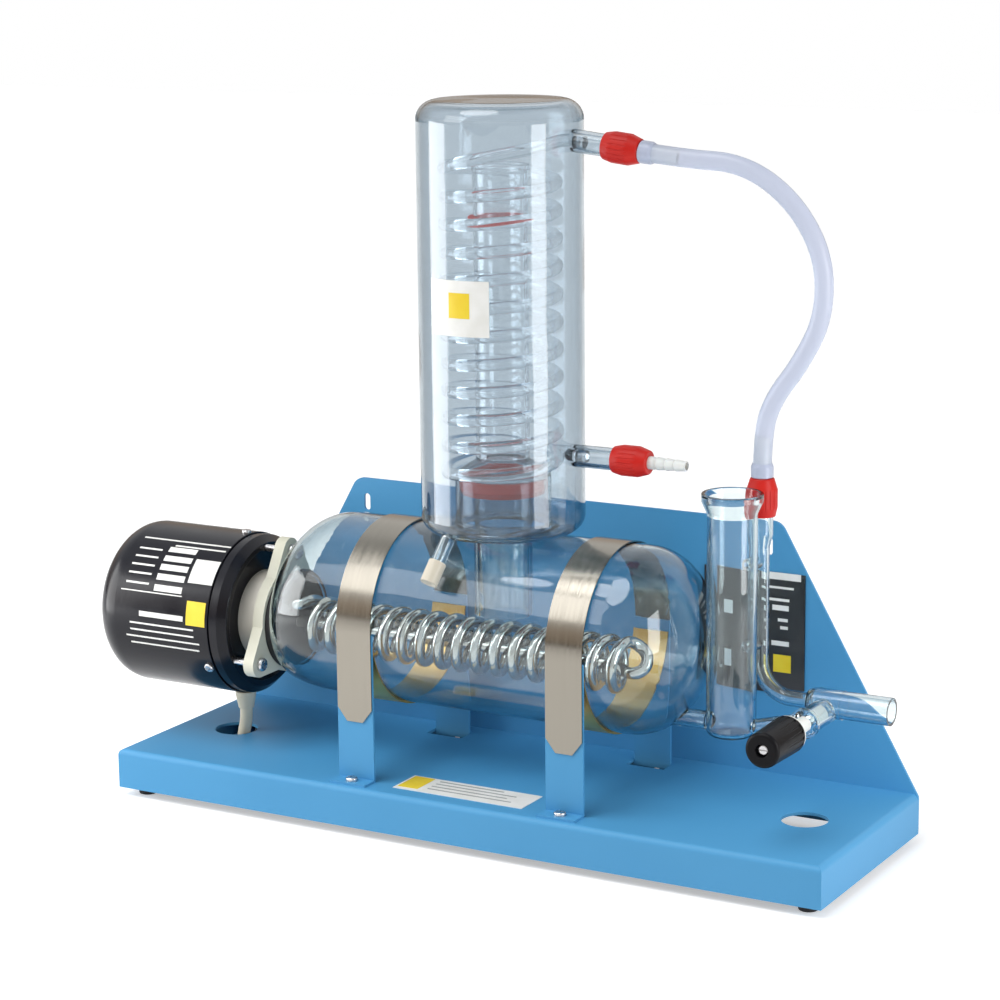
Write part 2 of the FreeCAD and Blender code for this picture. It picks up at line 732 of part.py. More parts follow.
def base_ring():
    """The black base of the heater head: a dished disc with a spigot for the cap."""
    depth = RING_X1 - RING_X0
    ring = lathe([(BOSS_R + CLEAR, -SPIGOT_L, 0), (SPIGOT_R, -SPIGOT_L, 1.0), (SPIGOT_R, 0, 0),
                  (RING_R, 0, 0.6), (RING_R, depth * 0.55, 0), (RING_R - 5, depth, 1.2),
                  (RING_R - 9, depth, 0.8), (RING_R - 11, depth - 4, 1.0),
                  (BOSS_R + CLEAR, depth - 4, 0)],
                 (RING_X0, 0, HEAD_Z), (1, 0, 0))
    tools = []
    for at in lug_points(RING_X1 - 15):
        tools.append(rod(at, (1, 0, 0), 2.6, 25))
    for at, out in cap_screw_places(SPIGOT_R - 12):
        tools.append(rod(at, out, 1.9, 30))
    tools.append(gland_clearance(GLAND_PLUG_R + CLEAR))
    return ring.cut(Part.makeCompound(tools))


def cap_screw_places(radius):
    """Start point and outward direction of each radial screw."""
    places = []
    for angle in CAP_SCREW_ANGLES:
        a = math.radians(angle)
        places.append((on_circle(CAP_SCREW_X, HEAD_Z, radius, angle), (0, math.cos(a), math.sin(a))))
    return places


def heater_cap():
    """The glossy black moulded cover, closed at its left end."""
    length = RING_X0 - CAP_X0 - 0.3
    inner = CAP_R - CAP_T
    cup = lathe([(0, 0, 0), (CAP_R, 0, CAP_END_R), (CAP_R, length, 0.5), (inner, length, 0),
                 (inner, CAP_T, CAP_END_R - CAP_T), (0, CAP_T, 0)],
                (CAP_X0, 0, HEAD_Z), (1, 0, 0))
    tools = [rod(at, out, 2.1, 30) for at, out in cap_screw_places(CAP_R - 12)]
    notch = GLAND_PLUG_R + 2 * CLEAR
    tools.append(gland_clearance(notch))
    tools.append(block(GLAND_X, GLAND_X + 20, GLAND_Y - notch, GLAND_Y + notch,
                       HEAD_Z - CAP_R - 6, HEAD_Z - 45))
    return cup.cut(Part.makeCompound(tools))


def cap_screws():
    return joined([pan_screw(at, out, 3.4, 2.0, 1.7, 10.0) for at, out in cap_screw_places(CAP_R)])


def terminal_block():
    """The white connector block inside the cap, with its six clamp screws."""
    x0 = RING_X0 - SPIGOT_L - 22
    body = block(x0, x0 + 16, -24, 24, HEAD_Z - 34, HEAD_Z - 20)
    wells = []
    for i in range(3):
        y = -16 + 16 * i
        for dx in (4, 12):
            wells.append(rod((x0 + dx, y, HEAD_Z - 24), (0, 0, 1), 2.4, 10))
        wells.append(rod((x0 - 1, y, HEAD_Z - 29), (1, 0, 0), 2.6, 18))
    return body.cut(Part.makeCompound(wells))


def thermal_cutout():
    """The disc thermostat that stands on the element's ends inside the cap."""
    x0 = LEG_END_X - 10
    body = lathe([(0, 0, 0), (11, 0, 1.0), (11, 8, 0.6), (0, 8, 0)], (x0, -4, ELEMENT_Z + 6), (1, 0, 0))
    tabs = [block(x0 - 9, x0, y - 3.1, y + 3.1, ELEMENT_Z + 5.6, ELEMENT_Z + 6.4) for y in (-11, 3)]
    return fused([body] + tabs)


# Condenser


def spout_rod(radius, length):
    """A rod along the spout, from its start in the jacket's trough."""
    start, end = point(SPOUT_FROM), point(SPOUT_TO)
    return rod(start, end - start, radius, length)


def distillate_spout():
    """The spout below the jacket's trough, cut to the jacket's outside."""
    reach = (point(SPOUT_TO) - point(SPOUT_FROM)).Length
    low, wide = JACKET_Z0 - SPOUT_GAP, JACKET_R + SPOUT_GAP
    jacket = lathe([(0, low, 0), (wide, low, JACKET_LOW_R), (wide, low + 40, 0), (0, low + 40, 0)])
    return spout_rod(SPOUT_R, reach).cut(jacket).cut(spout_rod(SPOUT_BORE_R, 60))


def condenser_jacket():
    """The outer jacket with its drip trough, inner sleeve and two stubs."""
    t = GLASS_T
    in_r = SLEEVE_R - t
    riser_in = RISER_R - RISER_T
    neck_top = RISER_Z0 - 0.2
    shell = lathe([
        (0, JACKET_Z1, 0), (JACKET_R, JACKET_Z1, JACKET_TOP_R), (JACKET_R, JACKET_Z0, JACKET_LOW_R),
        (in_r, JACKET_Z0, 4.0), (in_r, SLEEVE_TOP_Z, 1.5), (riser_in, neck_top - 3, 2.0),
        (riser_in, neck_top, 0), (RISER_R, neck_top, 0), (RISER_R, neck_top - 2, 1.0),
        (SLEEVE_R, SLEEVE_TOP_Z + 2, 2.5), (SLEEVE_R, JACKET_Z0 + t, 6.0),
        (JACKET_R - t, JACKET_Z0 + t, JACKET_LOW_R - t), (JACKET_R - t, JACKET_Z1 - t, JACKET_TOP_R - t),
        (0, JACKET_Z1 - t, 0)])
    pieces, bores = [shell], [spout_rod(SPOUT_BORE_R, 60)]
    for which in ("upper", "lower"):
        _, direction, cap_at = connector_axis(which)
        wall = JACKET_R - t / 2
        pieces.append(rod(along(which, wall), direction, STUB_R, cap_at + STUB_IN_CAP - wall))
        bores.append(rod(along(which, wall - t), direction, STUB_BORE_R, 60))
    return fused(pieces).cut(Part.makeCompound(bores))


def riser_tube():
    """The inner steam tube, with a thickened lip at its open top."""
    inner = RISER_R - RISER_T
    return lathe([(inner, RISER_Z0, 0), (RISER_R, RISER_Z0, 0), (RISER_R, RISER_Z1 - 5, 1.0),
                  (RISER_R + 1.2, RISER_Z1 - 3.5, 1.0), (RISER_R + 1.2, RISER_Z1, 0.8),
                  (inner, RISER_Z1, 0.5)])


def neck_seal():
    """The red tapered bung between the boiler's neck and the condenser's sleeve."""
    inner = NECK_R + CLEAR
    outer = SLEEVE_R - GLASS_T - CLEAR
    return lathe([(inner, SEAL_Z0, 0), (outer - 2.5, SEAL_Z0, 0.8), (outer, SEAL_Z0 + 4, 0.8),
                  (outer, SEAL_Z1, 0.8), (inner, SEAL_Z1, 0)])


def riser_ring():
    """The thin red ring near the top of the riser."""
    inner = RISER_R + CLEAR / 2
    return lathe([(inner, TOP_RING_Z - 1.7, 0), (inner + 3.4, TOP_RING_Z - 1.7, 1.0),
                  (inner + 3.4, TOP_RING_Z + 1.7, 1.0), (inner, TOP_RING_Z + 1.7, 0)])


def coil_radius(turns):
    """The coil is wider at both ends, where it meets its stubs."""
    wide = COIL_OUT_R - COIL_R
    if turns < COIL_DROP:
        return COIL_OUT_R
    if turns < COIL_LOW:
        return COIL_R + wide * (COIL_LOW - turns) / (COIL_LOW - COIL_DROP)
    if turns > COIL_LOW + COIL_TURNS:
        return COIL_R + wide * (turns - COIL_LOW - COIL_TURNS) / (1 - COIL_LOW)
    return COIL_R


def coil_height(turns):
    """It drops from the lower stub, climbs steadily, then rises to the upper stub."""
    low, high = COIL_Z0, COIL_Z0 + COIL_PITCH * COIL_TURNS
    if turns < COIL_DROP:
        return LOWER_STUB_Z + (low + 1 - LOWER_STUB_Z) * turns / COIL_DROP
    if turns < COIL_LOW:
        return low + (COIL_LOW - turns) / (COIL_LOW - COIL_DROP)
    if turns > COIL_LOW + COIL_TURNS:
        top = along("upper", COIL_OUT_R)[2]
        return high + (top - high) * (turns - COIL_LOW - COIL_TURNS) / (1 - COIL_LOW)
    return low + COIL_PITCH * (turns - COIL_LOW)


def coil_point(turns):
    a = 2 * math.pi * turns
    radius = coil_radius(turns)
    return V(radius * math.cos(a), radius * math.sin(a), coil_height(turns))


def coil_station(turns):
    """Centre of the coil's tube and its direction after a number of turns."""
    near = 0.02
    return coil_point(turns), (coil_point(turns + near) - coil_point(turns - near)).normalize()


def condenser_coil():
    """One unbroken glass tube from the lower stub round the riser to the upper stub."""
    inlet, outlet = along("lower", COIL_ENTRY_X), along("upper", COIL_ENTRY_X)
    _, inward, _ = connector_axis("lower")
    _, outward, _ = connector_axis("upper")
    straight = COIL_ENTRY_X + 2 * COIL_TUBE_R
    stations = [(point(along("lower", straight)), point(inward) * -1),
                (point(inlet), point(inward) * -1)]
    turns = [COIL_JOIN, 0.2, COIL_DROP, COIL_LOW]
    turns += [step / 4 for step in range(3, (COIL_TURNS + 1) * 4 - 1)]
    turns += [COIL_LOW + COIL_TURNS, COIL_TURNS + 0.75, COIL_TURNS + 1 - COIL_JOIN]
    for turn in turns:
        stations.append(coil_station(turn))
    stations.append((point(outlet), point(outward)))
    stations.append((point(along("upper", straight)), point(outward)))
    return wound_tube("condenser_coil", stations, COIL_TUBE_R)


def spout_sleeve():
    """The short silicone sleeve on the spout's tip."""
    start, end = point(SPOUT_FROM), point(SPOUT_TO)
    down = (end - start).normalize()
    first = end - down * (SPOUT_SLEEVE_L - 4)
    return rod(first, down, SPOUT_R + 1.2, SPOUT_SLEEVE_L).cut(
        rod(first - down, down, SPOUT_R + 0.02, SPOUT_SLEEVE_L + 2))


# Screw caps and hose tails


def connector_axis(which):
    """Where a glass stub's axis starts, its direction, and how far along it the cap sits."""
    if which == "upper":
        a = math.radians(UPPER_STUB_TILT)
        return (0.0, 0.0, UPPER_STUB_Z), (math.cos(a), 0.0, -math.sin(a)), UPPER_CAP_S
    if which == "lower":
        return (0.0, 0.0, LOWER_STUB_Z), (1.0, 0.0, 0.0), LOWER_CAP_S
    return (INLET_X, INLET_Y, 0.0), (0.0, 0.0, 1.0), INLET_CAP_Z


def along(which, distance):
    """The point at a distance along a connector's axis."""
    origin, direction, _ = connector_axis(which)
    return tuple(o + d * distance for o, d in zip(origin, direction))


def screw_cap(which):
    """A red barrel-shaped cap with finger ribs, open at the glass and bored at its end."""
    _, direction, start = connector_axis(which)
    inner = STUB_R + RUN_GAP
    body = lathe([(inner, 0, 0), (inner + 1.3, 0, 0.4), (CAP_MID_R, 6, 4.0), (CAP_MID_R, 17, 5.0),
                  (CAP_TIP_R, CAP_LEN, 1.0), (TAIL_R + RUN_GAP, CAP_LEN, 0),
                  (TAIL_R + RUN_GAP, CAP_LEN - 2.5, 0), (inner, CAP_LEN - 2.5, 0)])
    grooves = []
    for i in range(CAP_RIBS):
        a = 2 * math.pi * i / CAP_RIBS
        r = CAP_MID_R + 0.15
        grooves.append(rod((r * math.cos(a), r * math.sin(a), 3), (0, 0, 1), 0.55, 17))
    return place(body.cut(Part.makeCompound(grooves)), along(which, start), direction)


def hose_tail(which):
    """A hose tail: a head held in the cap, and a tapered barbed stem."""
    _, direction, start = connector_axis(which)
    base = STUB_IN_CAP
    head = CAP_LEN - 2.5 - RUN_GAP
    corners = [(TAIL_BORE_R, base, 0), (TAIL_HEAD_R, base, 0.3), (TAIL_HEAD_R, head, 0.3),
               (TAIL_R, head, 0), (TAIL_R, CAP_LEN + 3, 0)]
    for i in range(TAIL_BARBS):
        s = CAP_LEN + 5 + i * 6.5
        r = TAIL_R - 0.22 * i
        corners += [(r - 0.5, s, 0), (r + 0.1, s + 1.0, 0), (r - 0.4, s + 5.5, 0)]
    corners += [(TAIL_TIP_R, CAP_LEN + TAIL_OUT, 0.4), (TAIL_BORE_R, CAP_LEN + TAIL_OUT, 0)]
    return lathe(corners, along(which, start), direction)


# Level vessel, overflow tube and drain valve


def bridge_direction():
    """From the level vessel's axis to the overflow tube's, and the distance."""
    dx, dy = INLET_X - VESSEL_X, INLET_Y
    distance = math.hypot(dx, dy)
    return (dx / distance, dy / distance, 0.0), distance


def level_vessel():
    """A round-bottomed glass tube with a flared open top and its side ports."""
    t = VESSEL_T
    body = lathe([(0, VESSEL_Z0, 0), (VESSEL_R, VESSEL_Z0, 5.0), (VESSEL_R, VESSEL_Z1 - 13, 6.0),
                  (VESSEL_RIM_R, VESSEL_Z1 - 5, 4.0), (VESSEL_RIM_R, VESSEL_Z1, 0.9),
                  (VESSEL_RIM_R - t, VESSEL_Z1, 0.9), (VESSEL_R - t, VESSEL_Z1 - 12, 5.0),
                  (VESSEL_R - t, VESSEL_Z0 + t, 3.0), (0, VESSEL_Z0 + t, 0)], (VESSEL_X, 0, 0))
    out, _ = bridge_direction()
    ports = [rod((VESSEL_X, 0, z), out, BRIDGE_R - 1.4, VESSEL_R + 3) for z in BRIDGE_ZS]
    ports.append(rod((VESSEL_X, 0, LINK_Z), (-1, 0, 0), LINK_R - 1.6, VESSEL_R + 3))
    ports.append(rod((VESSEL_X, 0, LINK_Z), (1, 0, 0), VALVE_LINK_R - 1.6, VESSEL_R + 3))
    return body.cut(Part.makeCompound(ports))


def swept_solid(radius, drain_radius, extra):
    """The overflow tube's outside or bore: down, round the sweep and out to the drain."""
    bend_z = DRAIN_Z + SWEEP_R
    bend_x = INLET_X + SWEEP_R
    half = SWEEP_R * (1 - math.sqrt(0.5))
    arc = Part.Arc(V(INLET_X, INLET_Y, bend_z), V(INLET_X + half, INLET_Y, DRAIN_Z + half),
                   V(bend_x, INLET_Y, DRAIN_Z))
    ring = Part.Wire(Part.Circle(V(INLET_X, INLET_Y, bend_z), Z_AXIS, radius).toShape())
    sweep = Part.Wire(arc.toShape()).makePipeShell([ring], True, False)
    down = rod((INLET_X, INLET_Y, bend_z), (0, 0, 1), radius, INLET_CAP_Z - 20 - bend_z)
    across = rod((bend_x, INLET_Y, DRAIN_Z), (1, 0, 0), radius, DRAIN_X0 + 5 - bend_x)
    drain = lathe([(0, 0, 0), (drain_radius, 0, drain_radius * 0.6),
                   (drain_radius, DRAIN_X1 - DRAIN_X0 + extra, 0), (0, DRAIN_X1 - DRAIN_X0 + extra, 0)],
                  (DRAIN_X0 + DRAIN_R - drain_radius, INLET_Y, DRAIN_Z), (1, 0, 0))
    stub = lathe([(0, INLET_CAP_Z - 24, 0), (radius, INLET_CAP_Z - 24, 0), (radius, INLET_CAP_Z - 20, 3.0),
                  (radius + 2.0, INLET_CAP_Z - 12, 3.0), (radius + 2.0, INLET_CAP_Z + STUB_IN_CAP + extra, 0),
                  (0, INLET_CAP_Z + STUB_IN_CAP + extra, 0)], (INLET_X, INLET_Y, 0))
    return fused([down, sweep, across, drain, stub])


def overflow_tube():
    """The water inlet: down beside the vessel, bridged to it twice, and out as the drain."""
    out, distance = bridge_direction()
    collar_at, collar_end = DRAIN_COLLAR
    collar = rod((collar_at, INLET_Y, DRAIN_Z), (1, 0, 0), DRAIN_COLLAR_R, collar_end - collar_at)
    outer = [swept_solid(INLET_TUBE_R, DRAIN_R, 0), collar]
    bores = [swept_solid(INLET_TUBE_R - 1.5, DRAIN_R - 1.8, 2)]
    for z in BRIDGE_ZS:
        start = (VESSEL_X + out[0] * (VESSEL_R + 0.15), out[1] * (VESSEL_R + 0.15), z)
        length = distance - VESSEL_R - 1
        outer.append(rod(start, out, BRIDGE_R, length))
        bores.append(rod(start, out, BRIDGE_R - 1.4, length))
    bores.append(rod((VALVE_X, INLET_Y, VALVE_Z), (0, -1, 0), 3.0, DRAIN_R + 2))
    return fused(outer).cut(fused(bores))


def valve_barrel():
    """The glass barrel of the drain valve, with its tube from the vessel's foot."""
    length = INLET_Y - 3 - BARREL_Y0
    barrel = rod((VALVE_X, BARREL_Y0, VALVE_Z), (0, 1, 0), BARREL_R, length)
    barrel = barrel.fuse(rod((VALVE_X, BARREL_Y0, VALVE_Z), (0, 1, 0), BARREL_R + 1.2, 3.0))
    start = point((VESSEL_X + VESSEL_R + 0.15, 0, LINK_Z))
    end = point((VALVE_X, 0, VALVE_Z))
    run = end - start
    link = rod(start, run, VALVE_LINK_R, run.Length)
    drain = rod((VALVE_X - 40, INLET_Y, DRAIN_Z), (1, 0, 0), DRAIN_COLLAR_R + 0.1, 80)
    vessel = rod((VESSEL_X, 0, LINK_Z - 20), (0, 0, 1), VESSEL_R + 0.1, 40)
    bores = [rod((VALVE_X, BARREL_Y0 - 1, VALVE_Z), (0, 1, 0), SPINDLE_R + RUN_GAP, length - 6),
             rod((VALVE_X, BARREL_Y0 - 1, VALVE_Z), (0, 1, 0), 3.0, length + 10),
             rod(start - run * 0.05, run, VALVE_LINK_R - 1.6, run.Length)]
    return fused([barrel, link]).cut(drain).cut(vessel).cut(fused(bores))


def valve_spindle():
    """The white spindle: a tapered tip, a plain shank, a thrust disc and the knob's seat."""
    tip_y = SPINDLE_TIP_Y
    disc = tip_y - (KNOB_Y0 + 1.4)
    return lathe([(0, 0, 0), (2.2, 0, 0.5), (SPINDLE_R, 5, 0), (SPINDLE_R, disc, 0),
                  (KNOB_R - 0.4, disc, 0.4), (KNOB_R - 0.4, disc + 1.3, 0.4), (SEAT_R, disc + 1.3, 0),
                  (SEAT_R, disc + 17, 0.5), (0, disc + 17, 0)],
                 (VALVE_X, tip_y, VALVE_Z), (0, -1, 0))


def valve_knob():
    """The black fluted knob, with a recess in its face for the screw."""
    length = KNOB_Y0 - KNOB_Y1
    seat = SEAT_R + RUN_GAP
    body = lathe([(seat, 0, 0), (KNOB_R, 0, 1.2), (KNOB_R - 0.8, length, 2.6), (4.2, length, 0.5),
                  (4.2, length - 4.5, 0), (1.7, length - 4.5, 0), (1.7, 18, 0), (seat, 18, 0)])
    flutes = []
    for i in range(KNOB_FLUTES):
        a = 2 * math.pi * i / KNOB_FLUTES
        r = KNOB_R + 0.35
        flutes.append(rod((r * math.cos(a), r * math.sin(a), 2.5), (0, 0, 1), 0.95, length))
    body = body.cut(Part.makeCompound(flutes))
    return place(body, (VALVE_X, KNOB_Y0, VALVE_Z), (0, -1, 0))


def knob_screw():
    return pan_screw((VALVE_X, KNOB_Y1 + 4.5, VALVE_Z), (0, -1, 0), 3.4, 2.2, 1.5, 15.0)


# Cooling water hose


def hose_route():
    """From the condenser's upper tail, out in a wide bow and down to the inlet."""
    first = along("upper", UPPER_CAP_S + CAP_LEN + 0.4)
    straight = along("upper", UPPER_CAP_S + CAP_LEN + 30)
    foot = along("inlet", INLET_CAP_Z + CAP_LEN + 30)
    last = along("inlet", INLET_CAP_Z + CAP_LEN + 0.4)
    return [first, straight] + list(HOSE_POINTS) + [foot, last]


def cooling_hose():
    """The silicone hose, bored at its ends for the two tails."""
    tube = route_tube("cooling_hose", hose_route(), HOSE_R)
    bores = []
    for which in ("upper", "inlet"):
        _, direction, start = connector_axis(which)
        bores.append(rod(along(which, start + CAP_LEN - 1), direction, TAIL_R + 0.15, TAIL_OUT + 1.4))
    return tube.cut(Part.makeCompound(bores))


def hose_cuffs():
    """The two thickened ends of the hose, against their caps."""
    cuffs = []
    for which in ("upper", "inlet"):
        _, direction, start = connector_axis(which)
        cuffs.append(lathe([(HOSE_R + 0.02, 0, 0), (CUFF_R, 0, 0.8), (CUFF_R, CUFF_L - 2, 1.0),
                            (HOSE_R + 0.3, CUFF_L, 0), (HOSE_R + 0.02, CUFF_L, 0)],
                           along(which, start + CAP_LEN + 0.4), direction))
    return joined(cuffs)


# Mains lead, its put-away coil and its plug


def cable_gland():
    """The tapered strain relief under the heater head."""
    top = HEAD_Z - SPIGOT_R + 6
    bottom = LEAD_ROUTE[0][2]
    shoulder_z = HEAD_Z - CAP_R - 0.4
    return lathe([(0, bottom, 0), (LEAD_R + 0.9, bottom, 0.4), (GLAND_R, shoulder_z - 2.5, 0),
                  (GLAND_R, shoulder_z, 0), (GLAND_PLUG_R, shoulder_z, 0), (GLAND_PLUG_R, top, 0.6),
                  (0, top, 0)], (GLAND_X, GLAND_Y, 0))


def gland_clearance(radius):
    """The hole through the head's spigot, or the notch in the cap's rim."""
    return rod((GLAND_X, GLAND_Y, HEAD_Z - CAP_R - 6), (0, 0, 1), radius, 30)


def wound_radius(turns):
    """The put-away coil spirals in, climbs a layer and spirals out again."""
    inmost = WOUND_OUT_R - WOUND_STEP * WOUND_REVERSAL
    return inmost + WOUND_STEP * abs(turns - WOUND_REVERSAL)


def wound_height(turns):
    """The lower layer, then a climb over half a turn, then the upper layer."""
    climb = min(1.0, max(0.0, (turns - WOUND_REVERSAL) * 2 + 0.5))
    return LEAD_LIE_Z + WOUND_LAYER * climb


def wound_point(turns):
    a = math.pi - 2 * math.pi * turns
    radius = wound_radius(turns)
    return V(WOUND_X + radius * math.cos(a), WOUND_Y + radius * math.sin(a), wound_height(turns))


def wound_station(turns):
    near = 0.02
    along_it = wound_point(turns + near) - wound_point(turns - near)
    return wound_point(turns), along_it.normalize()


def lead_coil():
    """The length of lead that is put away behind the back panel."""
    stations = [wound_station(step / 4) for step in range(int(WOUND_TURNS * 4) + 1)]
    (first, into), (last, out_of) = stations[0], stations[-1]
    straight = 2 * LEAD_R
    stations.insert(0, (first - into * straight, into))
    stations.append((last + out_of * straight, out_of))
    return wound_tube("lead_coil", stations, LEAD_R)


def plug_body():
    """A moulded three-pin plug that lies on its back, with its lead entering at one side."""
    x, y = PLUG_AT
    body = block(x - PLUG_W / 2, x + PLUG_W / 2, y - PLUG_L / 2, y + PLUG_L / 2, 0, PLUG_H)
    body = body.makeFillet(5, [e for e in body.Edges if abs(e.Vertexes[0].Z - e.Vertexes[-1].Z) > 1])
    body = body.makeFillet(2.5, [e for e in body.Edges if e.BoundBox.ZMin > PLUG_H - 0.1])
    length = PLUG_BOSS_L + 1
    entry = lathe([(0, 0, 0), (LEAD_R + 2.4, 0, 0), (LEAD_R + 1.0, length, 0.4), (0, length, 0)],
                  (x, y + PLUG_L / 2 - 1, PLUG_ENTRY_Z), (0, 1, 0))
    sockets = [block(*pin) for pin in pin_blocks()]
    return fused([body, entry]).cut(Part.makeCompound(sockets))


def pin_blocks():
    """The three flat pins stand up from the plug's face."""
    x, y = PLUG_AT
    pins = [(x - 2.0, x + 2.0, y - 19.0, y - 11.0, PLUG_H - 5, PLUG_H + 22.7)]
    for side in (-1, 1):
        cx = x + side * 11.1
        pins.append((cx - 3.2, cx + 3.2, y + 5.0, y + 9.0, PLUG_H - 5, PLUG_H + 17.7))
    return pins


def plug_pins():
    return joined([block(*pin) for pin in pin_blocks()])


# Bare plates


def panel_plate():
    """The blank black plate on the back panel."""
    x0, x1, z0, z1 = PANEL_PLATE
    y1 = TRAY_D / 2 - SHEET
    return block(x0, x1, y1 - PLATE_T, y1, z0, z1)


def base_label():
    """The blank white plate on the tray."""
    x0, x1, y0, y1 = BASE_LABEL
    return block(x0, x1, y0, y1, TRAY_TOP, TRAY_TOP + LABEL_T)


def main():
    os.makedirs("parts", exist_ok=True)
    sides = ("left", "right")
    save("base_tray", base_tray())
    save("back_panel", back_panel())
    save("panel_screws", panel_screws())
    for name, (x, y) in zip(("foot_front_left", "foot_back_left", "foot_front_right", "foot_back_right"),
                            foot_places()):
        save(name, foot(x, y))
    save("foot_screws", foot_screws())
    for side, x in zip(sides, CRADLE_XS):
        save("front_leg_" + side, front_leg(x))
        save("back_leg_" + side, back_leg(x))
        save("saddle_" + side, saddle(x))
        save("strap_" + side, strap(x))
    save("leg_screws", leg_screws())
    save("boiler_glass", boiler_glass())
    save("heating_element", heating_element())
    save("flange_gasket", flange_gasket())
    save("heater_flange", heater_flange())
    save("heater_boss", heater_boss())
    save("flange_screws", flange_screws())
    save("heater_base", base_ring())
    save("heater_cap", heater_cap())
    save("cap_screws", cap_screws())
    save("terminal_block", terminal_block())
    save("thermal_cutout", thermal_cutout())
    save("cable_gland", cable_gland())
    save("condenser_jacket", condenser_jacket())
    save("distillate_spout", distillate_spout())
    save("condenser_coil", condenser_coil())
    save("riser_tube", riser_tube())
    save("neck_seal", neck_seal())
    save("riser_ring", riser_ring())
    save("spout_sleeve", spout_sleeve())
    for which in ("upper", "lower", "inlet"):
        save("screw_cap_" + which, screw_cap(which))
        save("hose_tail_" + which, hose_tail(which))
    save("level_vessel", level_vessel())
    save("overflow_tube", overflow_tube())
    save("valve_barrel", valve_barrel())
    save("valve_spindle", valve_spindle())
    save("valve_knob", valve_knob())
    save("knob_screw", knob_screw())
    save("cooling_hose", cooling_hose())
    save("hose_cuffs", hose_cuffs())
    save("mains_lead", route_tube("mains_lead", LEAD_ROUTE, LEAD_R))
    save("lead_coil", lead_coil())
    save("lead_tail", route_tube("lead_tail", TAIL_ROUTE, LEAD_R))
    save("plug_body", plug_body())
    save("plug_pins", plug_pins())
    save("panel_plate", panel_plate())
    save("base_label", base_label())


main()
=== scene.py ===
"""The looks of the glass water distiller: camera, cords, materials, printed plates, light and floor."""

import math

import bpy
from mathutils import Matrix, Vector


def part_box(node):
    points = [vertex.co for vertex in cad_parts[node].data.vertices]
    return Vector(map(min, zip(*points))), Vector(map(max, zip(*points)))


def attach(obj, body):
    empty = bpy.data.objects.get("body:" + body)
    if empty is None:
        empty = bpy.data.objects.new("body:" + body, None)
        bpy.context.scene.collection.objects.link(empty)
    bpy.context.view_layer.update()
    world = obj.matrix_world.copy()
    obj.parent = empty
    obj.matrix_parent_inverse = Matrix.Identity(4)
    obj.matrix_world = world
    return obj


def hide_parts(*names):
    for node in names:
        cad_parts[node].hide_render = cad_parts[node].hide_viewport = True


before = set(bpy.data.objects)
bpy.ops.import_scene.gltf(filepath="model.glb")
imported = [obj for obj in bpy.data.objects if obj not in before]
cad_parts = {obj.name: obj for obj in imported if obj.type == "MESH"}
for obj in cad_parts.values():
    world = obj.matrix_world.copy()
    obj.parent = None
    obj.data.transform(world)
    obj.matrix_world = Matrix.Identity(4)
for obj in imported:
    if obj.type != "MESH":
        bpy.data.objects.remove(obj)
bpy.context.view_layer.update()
BODY = "distiller"
WHITE = (1.0, 1.0, 1.0, 1.0)

# How far along X the tray's middle is from the part's origin
TRAY_FROM_ORIGIN = 0.019


# Small helpers

def metres(points):
    """Points in millimetres from the tray's middle, as metres from the part's origin."""
    return [(at[0] / 1000 + TRAY_FROM_ORIGIN, *(value / 1000 for value in at[1:])) for at in points]


def linear(level):
    """The light that a screen level from 0 to 255 stands for, by the usual screen curve."""
    share = level / 255
    if level <= 10:
        return share / 12.92
    return ((share + 0.055) / 1.055) ** 2.4


def tone(red, green, blue):
    """The linear colour of three screen levels."""
    return linear(red), linear(green), linear(blue)


def add_object(name, data, body=BODY):
    """An object made from data, shown in the scene and carried by a body."""
    made = bpy.data.objects.new(name, data)
    bpy.context.scene.collection.objects.link(made)
    if body:
        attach(made, body)
    return made


def mesh_of(name, corners, faces):
    """A mesh from its corners and faces."""
    data = bpy.data.meshes.new(name)
    data.from_pydata(corners, [], faces)
    data.update()
    return data


# Camera

CAMERA_AT = Vector((0.8787 + TRAY_FROM_ORIGIN, -1.5558, 0.5990))
CAMERA_TARGET = Vector((-0.0026 + TRAY_FROM_ORIGIN, 0.0, 0.2166))
CAMERA_ROLL = math.radians(-0.62)
CAMERA_LENS = 101.1
CAMERA_SENSOR = 36.0
CAMERA_REACH = 50.0


def make_camera():
    """The camera that stands where the photograph's did."""
    data = bpy.data.cameras.new("camera")
    data.lens = CAMERA_LENS
    data.sensor_width = CAMERA_SENSOR
    data.clip_end = CAMERA_REACH
    camera = bpy.data.objects.new("camera", data)
    bpy.context.scene.collection.objects.link(camera)
    ahead = (CAMERA_TARGET - CAMERA_AT).normalized()
    right = ahead.cross(Vector((0, 0, 1))).normalized()
    above = right.cross(ahead)
    side = right * math.cos(CAMERA_ROLL) + above * math.sin(CAMERA_ROLL)
    top = above * math.cos(CAMERA_ROLL) - right * math.sin(CAMERA_ROLL)
    turned = Matrix((side, top, -ahead)).transposed().to_4x4()
    camera.matrix_world = Matrix.Translation(CAMERA_AT) @ turned
    bpy.context.scene.camera = camera


# Cords: routes in millimetres, all other values in metres

HOSE_D = 0.012
HOSE_ROUTE = metres((
    (100.25, 0.0, 446.08), (129.66, 0.0, 442.73), (168.0, 4.0, 441.0), (199.0, 9.0, 419.0),
    (217.0, 14.0, 385.0), (215.0, 19.0, 347.0), (197.0, 24.0, 316.0), (179.0, 27.5, 294.0),
    (170.5, 29.0, 272.0), (170.5, 29.0, 242.4),
))

